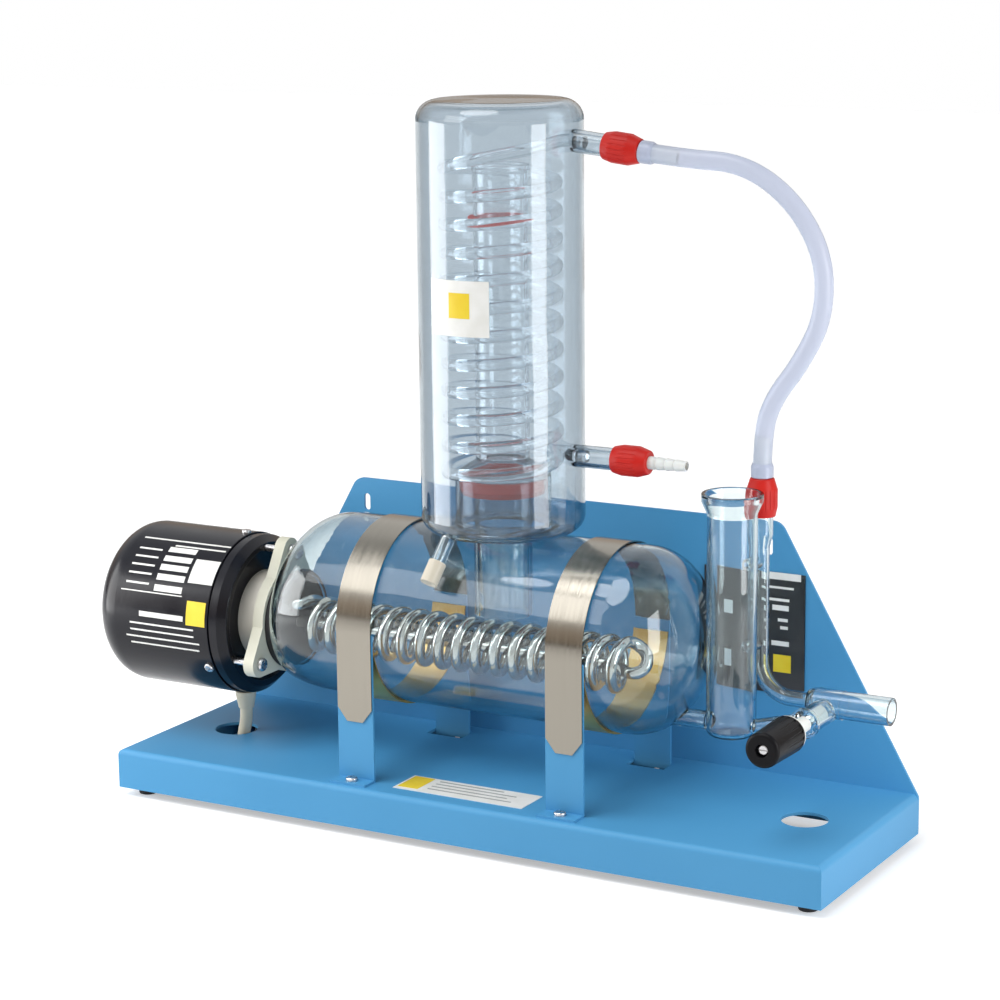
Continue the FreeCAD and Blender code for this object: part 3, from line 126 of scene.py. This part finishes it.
LEAD_D = 0.0088
LEAD_ROUTE = metres((
    (-206.0, -3.0, 50.0), (-206.0, -3.0, 41.5), (-209.3, -2.5, 30.0), (-213.2, 0.8, 18.2),
    (-214.6, 9.5, 8.8), (-213.0, 24.0, 4.75), (-210.8, 44.5, 4.75), (-205.5, 67.0, 4.75),
    (-197.5, 91.0, 4.75), (-187.98, 122.2, 4.75), (-187.43, 143.2, 4.75),
))
TAIL_ROUTE = metres((
    (-121.2, 211.77, 14.15), (-101.2, 212.27, 14.15), (-78.8, 210.5, 13.9), (-58.9, 201.2, 13.4),
    (-43.9, 185.1, 12.9), (-36.0, 164.6, 12.5), (-36.0, 144.6, 12.5),
))
COIL_CENTRE = (-0.130 + TRAY_FROM_ORIGIN, 0.152)
COIL_START_R = 0.0572
COIL_STEP = 0.0094
COIL_LAYER = 0.0094
COIL_LOW = 0.00475
COIL_REVERSAL = 2.5
COIL_TURNS = 5.25
COIL_POINTS_PER_TURN = 24

# Radii from the coil's middle and heights above the ground
TIE_WIDTH = 0.006
TIE_INSIDE = ((0.0289, 0.0573), (0.00032, 0.0190))
TIE_OUTSIDE = ((0.0281, 0.0581), (0.00002, 0.0197))


def coil_route():
    """The points of the put-away coil: in by two and a half turns, up one layer and out again."""
    points = []
    innermost = COIL_START_R - COIL_STEP * COIL_REVERSAL
    for i in range(round(COIL_TURNS * COIL_POINTS_PER_TURN) + 1):
        turns = i / COIL_POINTS_PER_TURN
        radius = innermost + COIL_STEP * abs(turns - COIL_REVERSAL)
        rise = min(1.0, max(0.0, (turns - COIL_REVERSAL) * 2 + 0.5))
        angle = math.pi - 2 * math.pi * turns
        x = COIL_CENTRE[0] + radius * math.cos(angle)
        y = COIL_CENTRE[1] + radius * math.sin(angle)
        points.append((x, y, COIL_LOW + COIL_LAYER * rise))
    return points


def make_cord(name, route, diameter):
    """One smooth open spline along a route. Its points carry the thickness, so its box is right."""
    data = bpy.data.curves.new(name, "CURVE")
    data.dimensions = "3D"
    data.bevel_depth = 1.0
    data.bevel_resolution = 6
    data.resolution_u = 10
    data.use_fill_caps = True
    spline = data.splines.new("NURBS")
    spline.points.add(len(route) - 1)
    for point, at in zip(spline.points, route):
        point.co = (*at, 1.0)
        point.radius = diameter / 2
    spline.order_u = 3
    spline.use_endpoint_u = True
    return add_object(name, data)


def make_tie():
    """A flat band around all turns of the put-away coil."""
    mid_x, mid_y = COIL_CENTRE
    near, far = mid_y - TIE_WIDTH / 2, mid_y + TIE_WIDTH / 2
    corners = []
    for (r0, r1), (z0, z1) in (TIE_INSIDE, TIE_OUTSIDE):
        for r, z in ((r0, z0), (r1, z0), (r1, z1), (r0, z1)):
            corners += [(mid_x + r, near, z), (mid_x + r, far, z)]
    # The first eight corners are the band's inside, the last eight its outside
    faces = []
    for a, b in ((0, 2), (2, 4), (4, 6), (6, 0)):
        faces += [
            (a, b, b + 1, a + 1), (8 + a, 9 + a, 9 + b, 8 + b),
            (a, 8 + a, 8 + b, b), (a + 1, b + 1, 9 + b, 9 + a),
        ]
    return add_object("coil_tie", mesh_of("coil_tie", corners, faces))


def make_cords():
    """The cooling hose and the mains lead, which stand for their plain tubes, and the lead's tie."""
    hose = make_cord("hose", HOSE_ROUTE, HOSE_D)
    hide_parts("cooling_hose")
    lead = make_cord("lead", LEAD_ROUTE + coil_route() + TAIL_ROUTE, LEAD_D)
    tie = make_tie()
    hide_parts("mains_lead", "lead_coil", "lead_tail")
    return hose, lead, tie


# Materials

NOISE_DETAIL = 3.0
GLASS_WAVES = 22.0
GLASS_WAVE_DEPTH = 0.0006
GLASS_SHADOW = (0.93, 0.955, 0.965)
SILICONE_SHADOW = (0.75, 0.79, 0.84)

# The stretch of the noise over which gloss and colour change
GLOSS_NOISE = (0.3, 0.7)
COLOUR_NOISE = (0.35, 0.65)


def new_material(name, colour, roughness, metallic=0.0, **sockets):
    """A material and its shader, with plain numbers on the shader's own sockets."""
    made = bpy.data.materials.new(name)
    made.use_nodes = True
    shader = made.node_tree.nodes["Principled BSDF"]
    shader.inputs["Base Color"].default_value = (*colour, 1.0)
    shader.inputs["Roughness"].default_value = roughness
    shader.inputs["Metallic"].default_value = metallic
    for socket, value in sockets.items():
        shader.inputs[socket.replace("_", " ")].default_value = value
    return made


def noise_of(made, scale, stretch=(1, 1, 1), detail=NOISE_DETAIL):
    """Noise in the part's own coordinates, stretched along its axes."""
    nodes, links = made.node_tree.nodes, made.node_tree.links
    place = nodes.new("ShaderNodeTexCoord")
    mapping = nodes.new("ShaderNodeMapping")
    mapping.inputs["Scale"].default_value = stretch
    noise = nodes.new("ShaderNodeTexNoise")
    noise.inputs["Scale"].default_value = scale
    noise.inputs["Detail"].default_value = detail
    links.new(place.outputs["Object"], mapping.inputs["Vector"])
    links.new(mapping.outputs["Vector"], noise.inputs["Vector"])
    return noise.outputs["Fac"]


def add_relief(made, scale, depth, stretch=(1, 1, 1), detail=NOISE_DETAIL):
    """Fine relief of that depth in metres."""
    nodes, links = made.node_tree.nodes, made.node_tree.links
    bump = nodes.new("ShaderNodeBump")
    bump.inputs["Distance"].default_value = depth
    links.new(noise_of(made, scale, stretch, detail), bump.inputs["Height"])
    links.new(bump.outputs["Normal"], nodes["Principled BSDF"].inputs["Normal"])
    return made


def add_gloss_change(made, scale, low, high, stretch=(1, 1, 1)):
    """Roughness that wanders between two values."""
    nodes, links = made.node_tree.nodes, made.node_tree.links
    spread = nodes.new("ShaderNodeMapRange")
    spread.inputs["From Min"].default_value = GLOSS_NOISE[0]
    spread.inputs["From Max"].default_value = GLOSS_NOISE[1]
    spread.inputs["To Min"].default_value = low
    spread.inputs["To Max"].default_value = high
    links.new(noise_of(made, scale, stretch), spread.inputs["Value"])
    links.new(spread.outputs["Result"], nodes["Principled BSDF"].inputs["Roughness"])
    return made


def add_colour_change(made, scale, one, other):
    """A colour that wanders between two close ones."""
    nodes, links = made.node_tree.nodes, made.node_tree.links
    ramp = nodes.new("ShaderNodeValToRGB")
    for element, position, colour in zip(ramp.color_ramp.elements, COLOUR_NOISE, (one, other)):
        element.position = position
        element.color = (*colour, 1.0)
    links.new(noise_of(made, scale), ramp.inputs["Fac"])
    links.new(ramp.outputs["Color"], nodes["Principled BSDF"].inputs["Base Color"])
    return made


def lets_light_in(made, colour):
    """The material casts no dark shadow: light goes straight through it, tinted."""
    nodes, links = made.node_tree.nodes, made.node_tree.links
    path = nodes.new("ShaderNodeLightPath")
    either = nodes.new("ShaderNodeMath")
    either.operation = "MAXIMUM"
    clear = nodes.new("ShaderNodeBsdfTransparent")
    clear.inputs["Color"].default_value = (*colour, 1.0)
    mixed = nodes.new("ShaderNodeMixShader")
    links.new(path.outputs["Is Shadow Ray"], either.inputs[0])
    links.new(path.outputs["Is Diffuse Ray"], either.inputs[1])
    links.new(either.outputs["Value"], mixed.inputs["Fac"])
    links.new(nodes["Principled BSDF"].outputs["BSDF"], mixed.inputs[1])
    links.new(clear.outputs["BSDF"], mixed.inputs[2])
    links.new(mixed.outputs["Shader"], nodes["Material Output"].inputs["Surface"])
    return made


def glass_material(name, face, edge, low, high, **sockets):
    """Blown glass that is clear face on and grey-blue where it is seen edge on. The grey-blue is partly the
    glass's own tint and partly painted shade, standing for the darker surroundings seen through the glass.
    """
    made = new_material(name, face, 0.0, Transmission_Weight=1.0, IOR=1.47, **sockets)
    nodes, links = made.node_tree.nodes, made.node_tree.links
    # Painted shade: the colour darkens from face on to edge on, standing for darker surroundings seen
    # through the glass
    weight = nodes.new("ShaderNodeLayerWeight")
    weight.inputs["Blend"].default_value = 0.5
    ramp = nodes.new("ShaderNodeValToRGB")
    ramp.color_ramp.interpolation = "EASE"
    for element, position, colour in zip(ramp.color_ramp.elements, (low, high), (face, edge)):
        element.position = position
        element.color = (*colour, 1.0)
    links.new(weight.outputs["Facing"], ramp.inputs["Fac"])
    links.new(ramp.outputs["Color"], nodes["Principled BSDF"].inputs["Base Color"])
    add_relief(made, GLASS_WAVES, GLASS_WAVE_DEPTH, detail=0.5)
    return lets_light_in(made, GLASS_SHADOW)


def blown_glass():
    """The boiler, the level vessel, the overflow, the valve's barrel and the spout."""
    return glass_material("glass", (0.86, 0.93, 0.945), (0.33, 0.45, 0.51), 0.22, 0.74,
                          Specular_IOR_Level=0.2)


def jacket_glass_painted_shade():
    """The condenser's jacket, in a darker grey-blue that is painted shade, standing for a darker backdrop
    seen through it.
    """
    # Painted shade: a deeper tint than the other glass, for the darker backdrop that shows through the
    # jacket
    return glass_material("jacket_glass_painted_shade", (0.62, 0.685, 0.735), (0.20, 0.27, 0.32), 0.32, 0.85,
                          Specular_IOR_Level=0.35)


def coil_glass():
    """The condenser's coil and steam tube, whose highlights show through the jacket."""
    return glass_material("coil_glass", (0.97, 0.98, 0.985), (0.62, 0.68, 0.72), 0.40, 0.95,
                          Specular_IOR_Level=0.35, Coat_Weight=1.0)


def painted_sheet():
    """Blue powder coat on sheet metal."""
    made = new_material("blue_coat", tone(78, 154, 203), 0.48, Specular_IOR_Level=0.35)
    add_colour_change(made, 6.0, tone(75, 151, 200), tone(81, 157, 206))
    return add_relief(made, 520.0, 0.00006)


def polished_steel():
    """The upper straps, ground along their length."""
    made = new_material("polished_steel", tone(150, 145, 135), 0.2, metallic=1.0)
    add_gloss_change(made, 420.0, 0.14, 0.24, (1.0, 0.06, 0.06))
    return add_relief(made, 700.0, 0.00002, (1.0, 0.05, 0.05))


def saddle_steel_painted_reflection():
    """The lower bands, which look warm through the glass: their amber colour on the steel is a painted
    reflection.
    """
    # Painted reflection: the warm amber stands for what the steel reflects, not for its own colour
    made = new_material("saddle_steel_painted_reflection", tone(240, 180, 98), 0.36, metallic=1.0)
    add_colour_change(made, 30.0, tone(235, 171, 87), tone(244, 190, 113))
    return add_relief(made, 500.0, 0.00002, (1.0, 0.1, 0.1))


def element_sheath():
    """The heater's bright metal tube."""
    made = new_material("element_sheath", tone(190, 189, 186), 0.1, metallic=1.0)
    add_colour_change(made, 60.0, tone(184, 180, 173), tone(195, 195, 194))
    add_gloss_change(made, 90.0, 0.05, 0.12)
    return add_relief(made, 900.0, 0.00002)


def bright_screw():
    """Plated screws."""
    made = new_material("bright_screw", tone(206, 206, 208), 0.24, metallic=1.0)
    add_gloss_change(made, 300.0, 0.18, 0.34)
    return add_relief(made, 900.0, 0.00002)


def cutout_can():
    """The overheat cut-out's metal can."""
    made = new_material("cutout_can", tone(190, 190, 192), 0.35, metallic=1.0)
    return add_relief(made, 600.0, 0.00002)


def brass():
    """The plug's pins."""
    made = new_material("brass", tone(206, 172, 96), 0.28, metallic=1.0)
    return add_gloss_change(made, 300.0, 0.22, 0.36)


def dark_moulding():
    """The heater head's glossy dark plastic."""
    made = new_material("dark_moulding", tone(11, 12, 22), 0.2, Specular_IOR_Level=0.3)
    add_gloss_change(made, 60.0, 0.16, 0.26)
    return add_relief(made, 380.0, 0.00003)


def knob_moulding():
    """The valve knob's matt black plastic."""
    made = new_material("knob_moulding", tone(10, 10, 14), 0.4, Specular_IOR_Level=0.15)
    return add_relief(made, 700.0, 0.00005)


def black_rubber():
    """Feet, the sealing disc and the tie of the lead."""
    made = new_material("black_rubber", tone(26, 26, 28), 0.62)
    add_gloss_change(made, 200.0, 0.55, 0.72)
    return add_relief(made, 900.0, 0.00008)


def black_plate():
    """The plate on the panel."""
    made = new_material("black_plate", tone(22, 24, 30), 0.3, Coat_Weight=0.2)
    return add_relief(made, 300.0, 0.00002)


def white_print():
    """The white blocks, and the labels of the tray and the condenser."""
    made = new_material("white_print", tone(236, 236, 232), 0.5)
    return add_colour_change(made, 80.0, tone(232, 232, 227), tone(240, 240, 237))


def grey_print():
    """The grey blocks on the tray's label."""
    made = new_material("grey_print", tone(158, 160, 160), 0.5)
    return add_colour_change(made, 80.0, tone(154, 156, 156), tone(163, 165, 165))


def yellow_print():
    """The yellow blocks."""
    made = new_material("yellow_print", tone(238, 208, 40), 0.45)
    return add_colour_change(made, 80.0, tone(235, 203, 34), tone(240, 213, 50))


def cream_ceramic():
    """The heater's clamping plate."""
    made = new_material("cream_ceramic", tone(214, 213, 196), 0.45, Coat_Weight=0.15, Coat_Roughness=0.3)
    add_colour_change(made, 24.0, tone(208, 207, 188), tone(219, 218, 203))
    return add_relief(made, 420.0, 0.00008)


def boss_ceramic():
    """The heater's collar."""
    made = new_material("boss_ceramic", tone(235, 231, 220), 0.5)
    add_colour_change(made, 24.0, tone(230, 226, 214), tone(239, 236, 227))
    return add_relief(made, 420.0, 0.00008)


def white_moulding():
    """Hose tails, the valve's spindle and the connector block."""
    made = new_material("white_moulding", tone(234, 234, 230), 0.4, Subsurface_Weight=0.1)
    return add_relief(made, 500.0, 0.00003)


def beige_sheath(name="beige_sheath"):
    """The lead's sheath, its gland and, under another name, its plug."""
    made = new_material(name, tone(222, 214, 192), 0.48)
    add_colour_change(made, 40.0, tone(217, 208, 184), tone(226, 219, 199))
    return add_relief(made, 600.0, 0.00005)


def red_moulding():
    """The screw caps."""
    made = new_material("red_moulding", tone(196, 27, 19), 0.42, Specular_IOR_Level=0.3)
    add_colour_change(made, 40.0, tone(191, 23, 16), tone(201, 33, 23))
    return add_relief(made, 400.0, 0.00003)


def red_rubber():
    """The bung and the ring of the steam tube."""
    made = new_material("red_rubber", tone(206, 46, 34), 0.42)
    add_colour_change(made, 50.0, tone(198, 40, 30), tone(213, 54, 40))
    return add_relief(made, 500.0, 0.00006)


def milky_silicone(name, colour, clear):
    """Silicone that lets some light through."""
    made = new_material(name, colour, 0.3, Transmission_Weight=clear, IOR=1.41)
    add_relief(made, 120.0, 0.00008)
    return lets_light_in(made, SILICONE_SHADOW)


def make_materials():
    """The materials, by the whole name of a piece or by the words that it starts with."""
    glass, jacket, coil = blown_glass(), jacket_glass_painted_shade(), coil_glass()
    coat, steel, saddle, screw = painted_sheet(), polished_steel(), saddle_steel_painted_reflection(), bright_screw()
    rubber, moulding, print_white = black_rubber(), dark_moulding(), white_print()
    ptfe, beige, red, red_soft = white_moulding(), beige_sheath(), red_moulding(), red_rubber()
    sleeve = milky_silicone("sleeve_silicone", tone(226, 218, 200), 0.25)
    hose = milky_silicone("hose_silicone", tone(208, 214, 231), 0.5)
    return {
        "base_tray": coat, "back_panel": coat, "front_leg": coat, "back_leg": coat,
        "panel_plate": black_plate(), "base_label": print_white,
        "saddle": saddle, "strap": steel,
        "panel_screws": screw, "foot_screws": screw, "leg_screws": screw,
        "flange_screws": screw, "cap_screws": screw, "knob_screw": screw,
        "foot": rubber, "flange_gasket": rubber, "cable_gland": beige,
        "boiler_glass": glass, "condenser_jacket": jacket, "condenser_coil": coil,
        "riser_tube": coil, "level_vessel": glass, "overflow_tube": glass, "valve_barrel": glass,
        "distillate_spout": glass,
        "heating_element": element_sheath(), "heater_flange": cream_ceramic(),
        "heater_boss": boss_ceramic(), "heater_base": moulding, "heater_cap": moulding,
        "valve_knob": knob_moulding(), "terminal_block": ptfe, "valve_spindle": ptfe,
        "hose_tail": ptfe, "thermal_cutout": cutout_can(), "neck_seal": red_soft,
        "riser_ring": red_soft, "screw_cap": red, "cooling_hose": hose, "hose_cuffs": hose,
        "spout_sleeve": sleeve, "mains_lead": beige, "lead": beige,
        "plug_body": beige_sheath("plug_moulding"), "plug_pins": brass(),
        "hose": hose, "coil_tie": rubber, "print_white": print_white,
        "print_grey": grey_print(), "print_yellow": yellow_print(),
    }


def put_on(made, materials, name):
    """Gives an object the material of its own name, or of the longest name that it starts with."""
    known = [key for key in materials if name == key or name.startswith(key + "_")]
    made.data.materials.clear()
    made.data.materials.append(materials[max(known, key=len)])


# Printed plates in plain blocks

PRINT_THICK = 0.00012
CAP_AXIS_Z = 0.1185
JACKET_R = 0.0535
LABEL_CLEARANCE = 0.00003
BLOCK_STEPS = 24
LABEL_STEPS = 48

# On the heater cap: reach along X from the tray's middle in millimetres, then angles in degrees
CAP_WHITE = (
    ((-272, -200), (114.6, 116.0)), ((-243, -201.5), (119.6, 121.0)),
    ((-270, -251), (125.2, 126.6)), ((-270, -251), (132.1, 133.5)), ((-270, -251), (138.8, 140.2)),
    ((-270, -251), (145.3, 146.7)), ((-270, -251), (152.5, 153.9)),
    ((-246, -223), (122.0, 126.6)), ((-246, -223), (130.0, 134.6)), ((-246, -223), (137.2, 141.8)),
    ((-246, -223), (144.7, 149.3)), ((-246, -223), (152.8, 157.4)),
    ((-220, -200), (130.0, 148.7)), ((-273, -222), (158.6, 159.4)),
    ((-256, -219.5), (172.7, 176.4)),
    ((-264, -211), (181.0, 182.2)), ((-264, -211), (185.9, 187.1)),
    ((-268, -207), (191.0, 192.2)), ((-265, -208), (196.2, 197.4)),
)
CAP_YELLOW = (((-217, -201.5), (161.3, 178.4)),)

# On the jacket: heights in metres, then angles in degrees
JACKET_LABEL = ((0.3315, 0.3668), (244.2, 291.2))
JACKET_YELLOW = ((0.3430, 0.3590), (261.5, 277.5))

# On the panel's plate: two corners, along X from the tray's middle and up, in millimetres
PLATE_WHITE = (
    ((149.3, 164.6), (177.0, 169.3)), ((150.0, 158.5), (172.0, 160.0)), ((150.0, 150.2), (169.0, 152.0)),
    ((157.0, 144.0), (168.6, 147.5)), ((161.0, 136.6), (168.0, 138.7)), ((162.7, 131.5), (168.1, 133.6)),
    ((156.6, 120.2), (169.0, 123.4)), ((119.1, 138.4), (129.0, 147.4)), ((120.1, 102.6), (127.6, 114.0)),
)
PLATE_YELLOW = (((158.0, 102.4), (170.5, 114.2)),)

# On the tray's label: two corners, along X and Y from the tray's middle, in millimetres
LABEL_GREY = (
    ((-26, -59), (36, -57.6)), ((-26, -53.6), (30, -52.2)),
    ((-26, -48.2), (34, -46.8)), ((-26, -43), (22, -41.6)),
)
LABEL_YELLOW = (((-46.5, -62.5), (-31.5, -39.0)),)


def curved_block(across, turn, point_at, radius, steps=BLOCK_STEPS):
    """Corners and faces of a thin block that lies on a cylinder."""
    corners, faces = [], []
    for i in range(steps + 1):
        angle = math.radians(turn[0] + (turn[1] - turn[0]) * i / steps)
        for r in (radius, radius + PRINT_THICK):
            corners += [point_at(across[0], angle, r), point_at(across[1], angle, r)]
    for i in range(steps):
        a, b = 4 * i, 4 * i + 4
        faces += [
            (a + 2, a + 3, b + 3, b + 2), (a + 1, a, b, b + 1),
            (a, a + 2, b + 2, b), (a + 3, a + 1, b + 1, b + 3),
        ]
    end = 4 * steps
    return corners, faces + [(0, 1, 3, 2), (end, end + 2, end + 3, end + 1)]


def flat_block(low, high):
    """Corners and faces of a thin box."""
    (x0, y0, z0), (x1, y1, z1) = low, high
    corners = [(x0, y0, z0), (x1, y0, z0), (x1, y1, z0), (x0, y1, z0),
               (x0, y0, z1), (x1, y0, z1), (x1, y1, z1), (x0, y1, z1)]
    faces = [(3, 2, 1, 0), (4, 5, 6, 7), (0, 1, 5, 4), (1, 2, 6, 5), (2, 3, 7, 6), (3, 0, 4, 7)]
    return corners, faces


def joined(blocks):
    """Several blocks as one list of corners and one of faces."""
    corners, faces = [], []
    for some_corners, some_faces in blocks:
        start = len(corners)
        corners += some_corners
        faces += [tuple(start + i for i in face) for face in some_faces]
    return corners, faces


def on_cap(x, angle, radius):
    """A point round the heater cap's axis, which lies along X."""
    return (x + TRAY_FROM_ORIGIN, radius * math.cos(angle), CAP_AXIS_Z + radius * math.sin(angle))


def on_jacket(z, angle, radius):
    """A point round the condenser's axis, which is upright."""
    return (radius * math.cos(angle) + TRAY_FROM_ORIGIN, radius * math.sin(angle), z)


def make_prints(materials):
    """The plain blocks that stand where the real plates and the real cap are printed."""
    cap_low, cap_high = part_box("heater_cap")
    cap_radius = (cap_high.y - cap_low.y) / 2
    jacket_radius = JACKET_R + LABEL_CLEARANCE
    plate_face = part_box("panel_plate")[0].y
    label_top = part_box("base_label")[1].z

    def cap_block(block):
        return curved_block([x / 1000 for x in block[0]], block[1], on_cap, cap_radius)

    def plate_block(block):
        (x0, z0), (x1, z1) = metres(block)
        return flat_block((x0, plate_face - PRINT_THICK, z0), (x1, plate_face, z1))

    def label_block(block):
        (x0, y0), (x1, y1) = metres(block)
        return flat_block((x0, y0, label_top), (x1, y1, label_top + PRINT_THICK))

    label = curved_block(*JACKET_LABEL, on_jacket, jacket_radius, LABEL_STEPS)
    label_yellow = curved_block(*JACKET_YELLOW, on_jacket, jacket_radius + PRINT_THICK)
    pieces = (
        ("cap_print_white", "print_white", [cap_block(b) for b in CAP_WHITE]),
        ("cap_print_yellow", "print_yellow", [cap_block(b) for b in CAP_YELLOW]),
        ("condenser_label", "print_white", [label]),
        ("condenser_label_yellow", "print_yellow", [label_yellow]),
        ("plate_print_white", "print_white", [plate_block(b) for b in PLATE_WHITE]),
        ("plate_print_yellow", "print_yellow", [plate_block(b) for b in PLATE_YELLOW]),
        ("base_label_grey", "print_grey", [label_block(b) for b in LABEL_GREY]),
        ("base_label_yellow", "print_yellow", [label_block(b) for b in LABEL_YELLOW]),
    )
    for name, material, blocks in pieces:
        made = add_object(name, mesh_of(name, *joined(blocks)))
        made.data.materials.append(materials[material])


# Floor, lamps and world

FLOOR_HALF = 6.0
FLOOR_THICK = 0.02
FLOOR_COLOUR = (0.80, 0.80, 0.80)
FLOOR_TONES = ((0.795, 0.795, 0.795), (0.805, 0.805, 0.805))
FLOOR_GLOW = 0.43
SKY_LIGHT = 0.38

# Where the sun shines to, its strength and its width in degrees
SUN = ((0.20, 0.36, -1.0), 1.3, 35.0)

# Each soft box: its place, the point it faces, its width and height, and its power in watts
BOX_AIM = (TRAY_FROM_ORIGIN, 0.0, 0.27)
SOFT_BOXES = {
    "left_box": ((-0.72, -0.34, 0.27), BOX_AIM, (0.46, 0.50), 3.9),
    "front_top_box": ((-0.51, -0.70, 0.83), (0.0, -0.03, 0.13), (0.50, 0.50), 1.7),
    "right_box": ((0.82, -0.11, 0.27), BOX_AIM, (0.30, 0.50), 2.7),
}

# What reflections see, from straight down at 0 to straight up at 1
GLOSS_SKY = (
    (0.0, (0.34, 0.34, 0.33)), (0.40, (0.40, 0.37, 0.34)), (0.455, (0.22, 0.21, 0.20)),
    (0.50, (0.10, 0.10, 0.10)), (0.53, (0.46, 0.38, 0.31)), (0.63, (0.66, 0.56, 0.48)),
    (0.69, (0.80, 0.78, 0.76)), (0.74, (1.0, 1.0, 1.0)), (0.90, (0.95, 0.97, 1.0)),
    (0.965, (0.16, 0.18, 0.19)),
)

GLASS_BOUNCES = 24
GLOSSY_BOUNCES = 6
DIFFUSE_BOUNCES = 3


def seen_rays(nodes, links):
    """Sockets that are 1 for the rays that see the background, with reflected rays and without."""
    path = nodes.new("ShaderNodeLightPath")
    through = nodes.new("ShaderNodeMath")
    through.operation = "MAXIMUM"
    seen = nodes.new("ShaderNodeMath")
    seen.operation = "MAXIMUM"
    links.new(path.outputs["Is Camera Ray"], through.inputs[0])
    links.new(path.outputs["Is Transmission Ray"], through.inputs[1])
    links.new(through.outputs["Value"], seen.inputs[0])
    links.new(path.outputs["Is Glossy Ray"], seen.inputs[1])
    return seen.outputs["Value"], through.outputs["Value"]


def make_floor():
    """A plain pale floor that keeps the object's shadow."""
    low, high = (-FLOOR_HALF, -FLOOR_HALF, -FLOOR_THICK), (FLOOR_HALF, FLOOR_HALF, 0.0)
    floor = add_object("floor", mesh_of("floor", *flat_block(low, high)), body=None)
    made = new_material("floor", FLOOR_COLOUR, 0.9)
    add_colour_change(made, 1.5, *FLOOR_TONES)
    nodes, links = made.node_tree.nodes, made.node_tree.links
    seen, _ = seen_rays(nodes, links)
    glow = nodes.new("ShaderNodeEmission")
    glow.inputs["Color"].default_value = WHITE
    level = nodes.new("ShaderNodeMath")
    level.operation = "MULTIPLY"
    level.inputs[1].default_value = FLOOR_GLOW
    both = nodes.new("ShaderNodeAddShader")
    links.new(seen, level.inputs[0])
    links.new(level.outputs["Value"], glow.inputs["Strength"])
    links.new(nodes["Principled BSDF"].outputs["BSDF"], both.inputs[0])
    links.new(glow.outputs["Emission"], both.inputs[1])
    links.new(both.outputs["Shader"], nodes["Material Output"].inputs["Surface"])
    floor.data.materials.append(made)


def make_lamp(name, kind, direction, power):
    """A lamp at the origin that shines one way, and its data."""
    data = bpy.data.lights.new(name, kind)
    data.energy = power
    lamp = bpy.data.objects.new(name, data)
    lamp.rotation_mode = "QUATERNION"
    lamp.rotation_quaternion = Vector(direction).to_track_quat("-Z", "Y")
    bpy.context.scene.collection.objects.link(lamp)
    return lamp, data


def make_lamps():
    """Even light from above and three soft boxes, whose reflections show in the glass and the straps."""
    direction, strength, spread = SUN
    _, sun = make_lamp("daylight", "SUN", direction, strength)
    sun.angle = math.radians(spread)
    for name, (at, toward, size, power) in SOFT_BOXES.items():
        lamp, data = make_lamp(name, "AREA", Vector(toward) - Vector(at), power)
        lamp.location = at
        data.shape = "RECTANGLE"
        data.size, data.size_y = size


def make_world():
    """White seen straight or through glass, bands of grey to white in reflections, soft light otherwise."""
    world = bpy.data.worlds.new("world")
    bpy.context.scene.world = world
    world.use_nodes = True
    nodes, links = world.node_tree.nodes, world.node_tree.links
    light = nodes["Background"]
    light.inputs["Color"].default_value = WHITE
    light.inputs["Strength"].default_value = SKY_LIGHT
    white = nodes.new("ShaderNodeBackground")
    white.inputs["Strength"].default_value = 1.0
    seen, through = seen_rays(nodes, links)
    mixed = nodes.new("ShaderNodeMixShader")
    place = nodes.new("ShaderNodeTexCoord")
    split = nodes.new("ShaderNodeSeparateXYZ")
    ramp = nodes.new("ShaderNodeValToRGB")
    ramp.color_ramp.elements[1].position = GLOSS_SKY[-1][0]
    ramp.color_ramp.elements[0].color = (*GLOSS_SKY[0][1], 1.0)
    ramp.color_ramp.elements[1].color = (*GLOSS_SKY[-1][1], 1.0)
    for position, colour in GLOSS_SKY[1:-1]:
        element = ramp.color_ramp.elements.new(position)
        element.color = (*colour, 1.0)
    half = nodes.new("ShaderNodeMapRange")
    half.inputs["From Min"].default_value = -1.0
    plain = nodes.new("ShaderNodeMix")
    plain.data_type = "RGBA"
    plain.inputs["B"].default_value = WHITE
    links.new(place.outputs["Generated"], split.inputs["Vector"])
    links.new(split.outputs["Z"], half.inputs["Value"])
    links.new(half.outputs["Result"], ramp.inputs["Fac"])
    links.new(ramp.outputs["Color"], plain.inputs["A"])
    links.new(through, plain.inputs["Factor"])
    links.new(plain.outputs["Result"], white.inputs["Color"])
    links.new(seen, mixed.inputs["Fac"])
    links.new(light.outputs["Background"], mixed.inputs[1])
    links.new(white.outputs["Background"], mixed.inputs[2])
    links.new(mixed.outputs["Shader"], nodes["World Output"].inputs["Surface"])


def set_rays():
    """Enough bounces for glass inside glass."""
    cycles = bpy.context.scene.cycles
    cycles.max_bounces = GLASS_BOUNCES
    cycles.transmission_bounces = GLASS_BOUNCES
    cycles.transparent_max_bounces = GLASS_BOUNCES
    cycles.glossy_bounces = GLOSSY_BOUNCES
    cycles.diffuse_bounces = DIFFUSE_BOUNCES
    cycles.caustics_reflective = False
    cycles.caustics_refractive = False


make_camera()
cords_and_tie = make_cords()
materials = make_materials()
for node_name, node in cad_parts.items():
    put_on(node, materials, node_name)
for piece in cords_and_tie:
    put_on(piece, materials, piece.name)
make_prints(materials)
make_floor()
make_lamps()
make_world()
set_rays()
bpy.context.scene.view_settings.view_transform = "Standard"
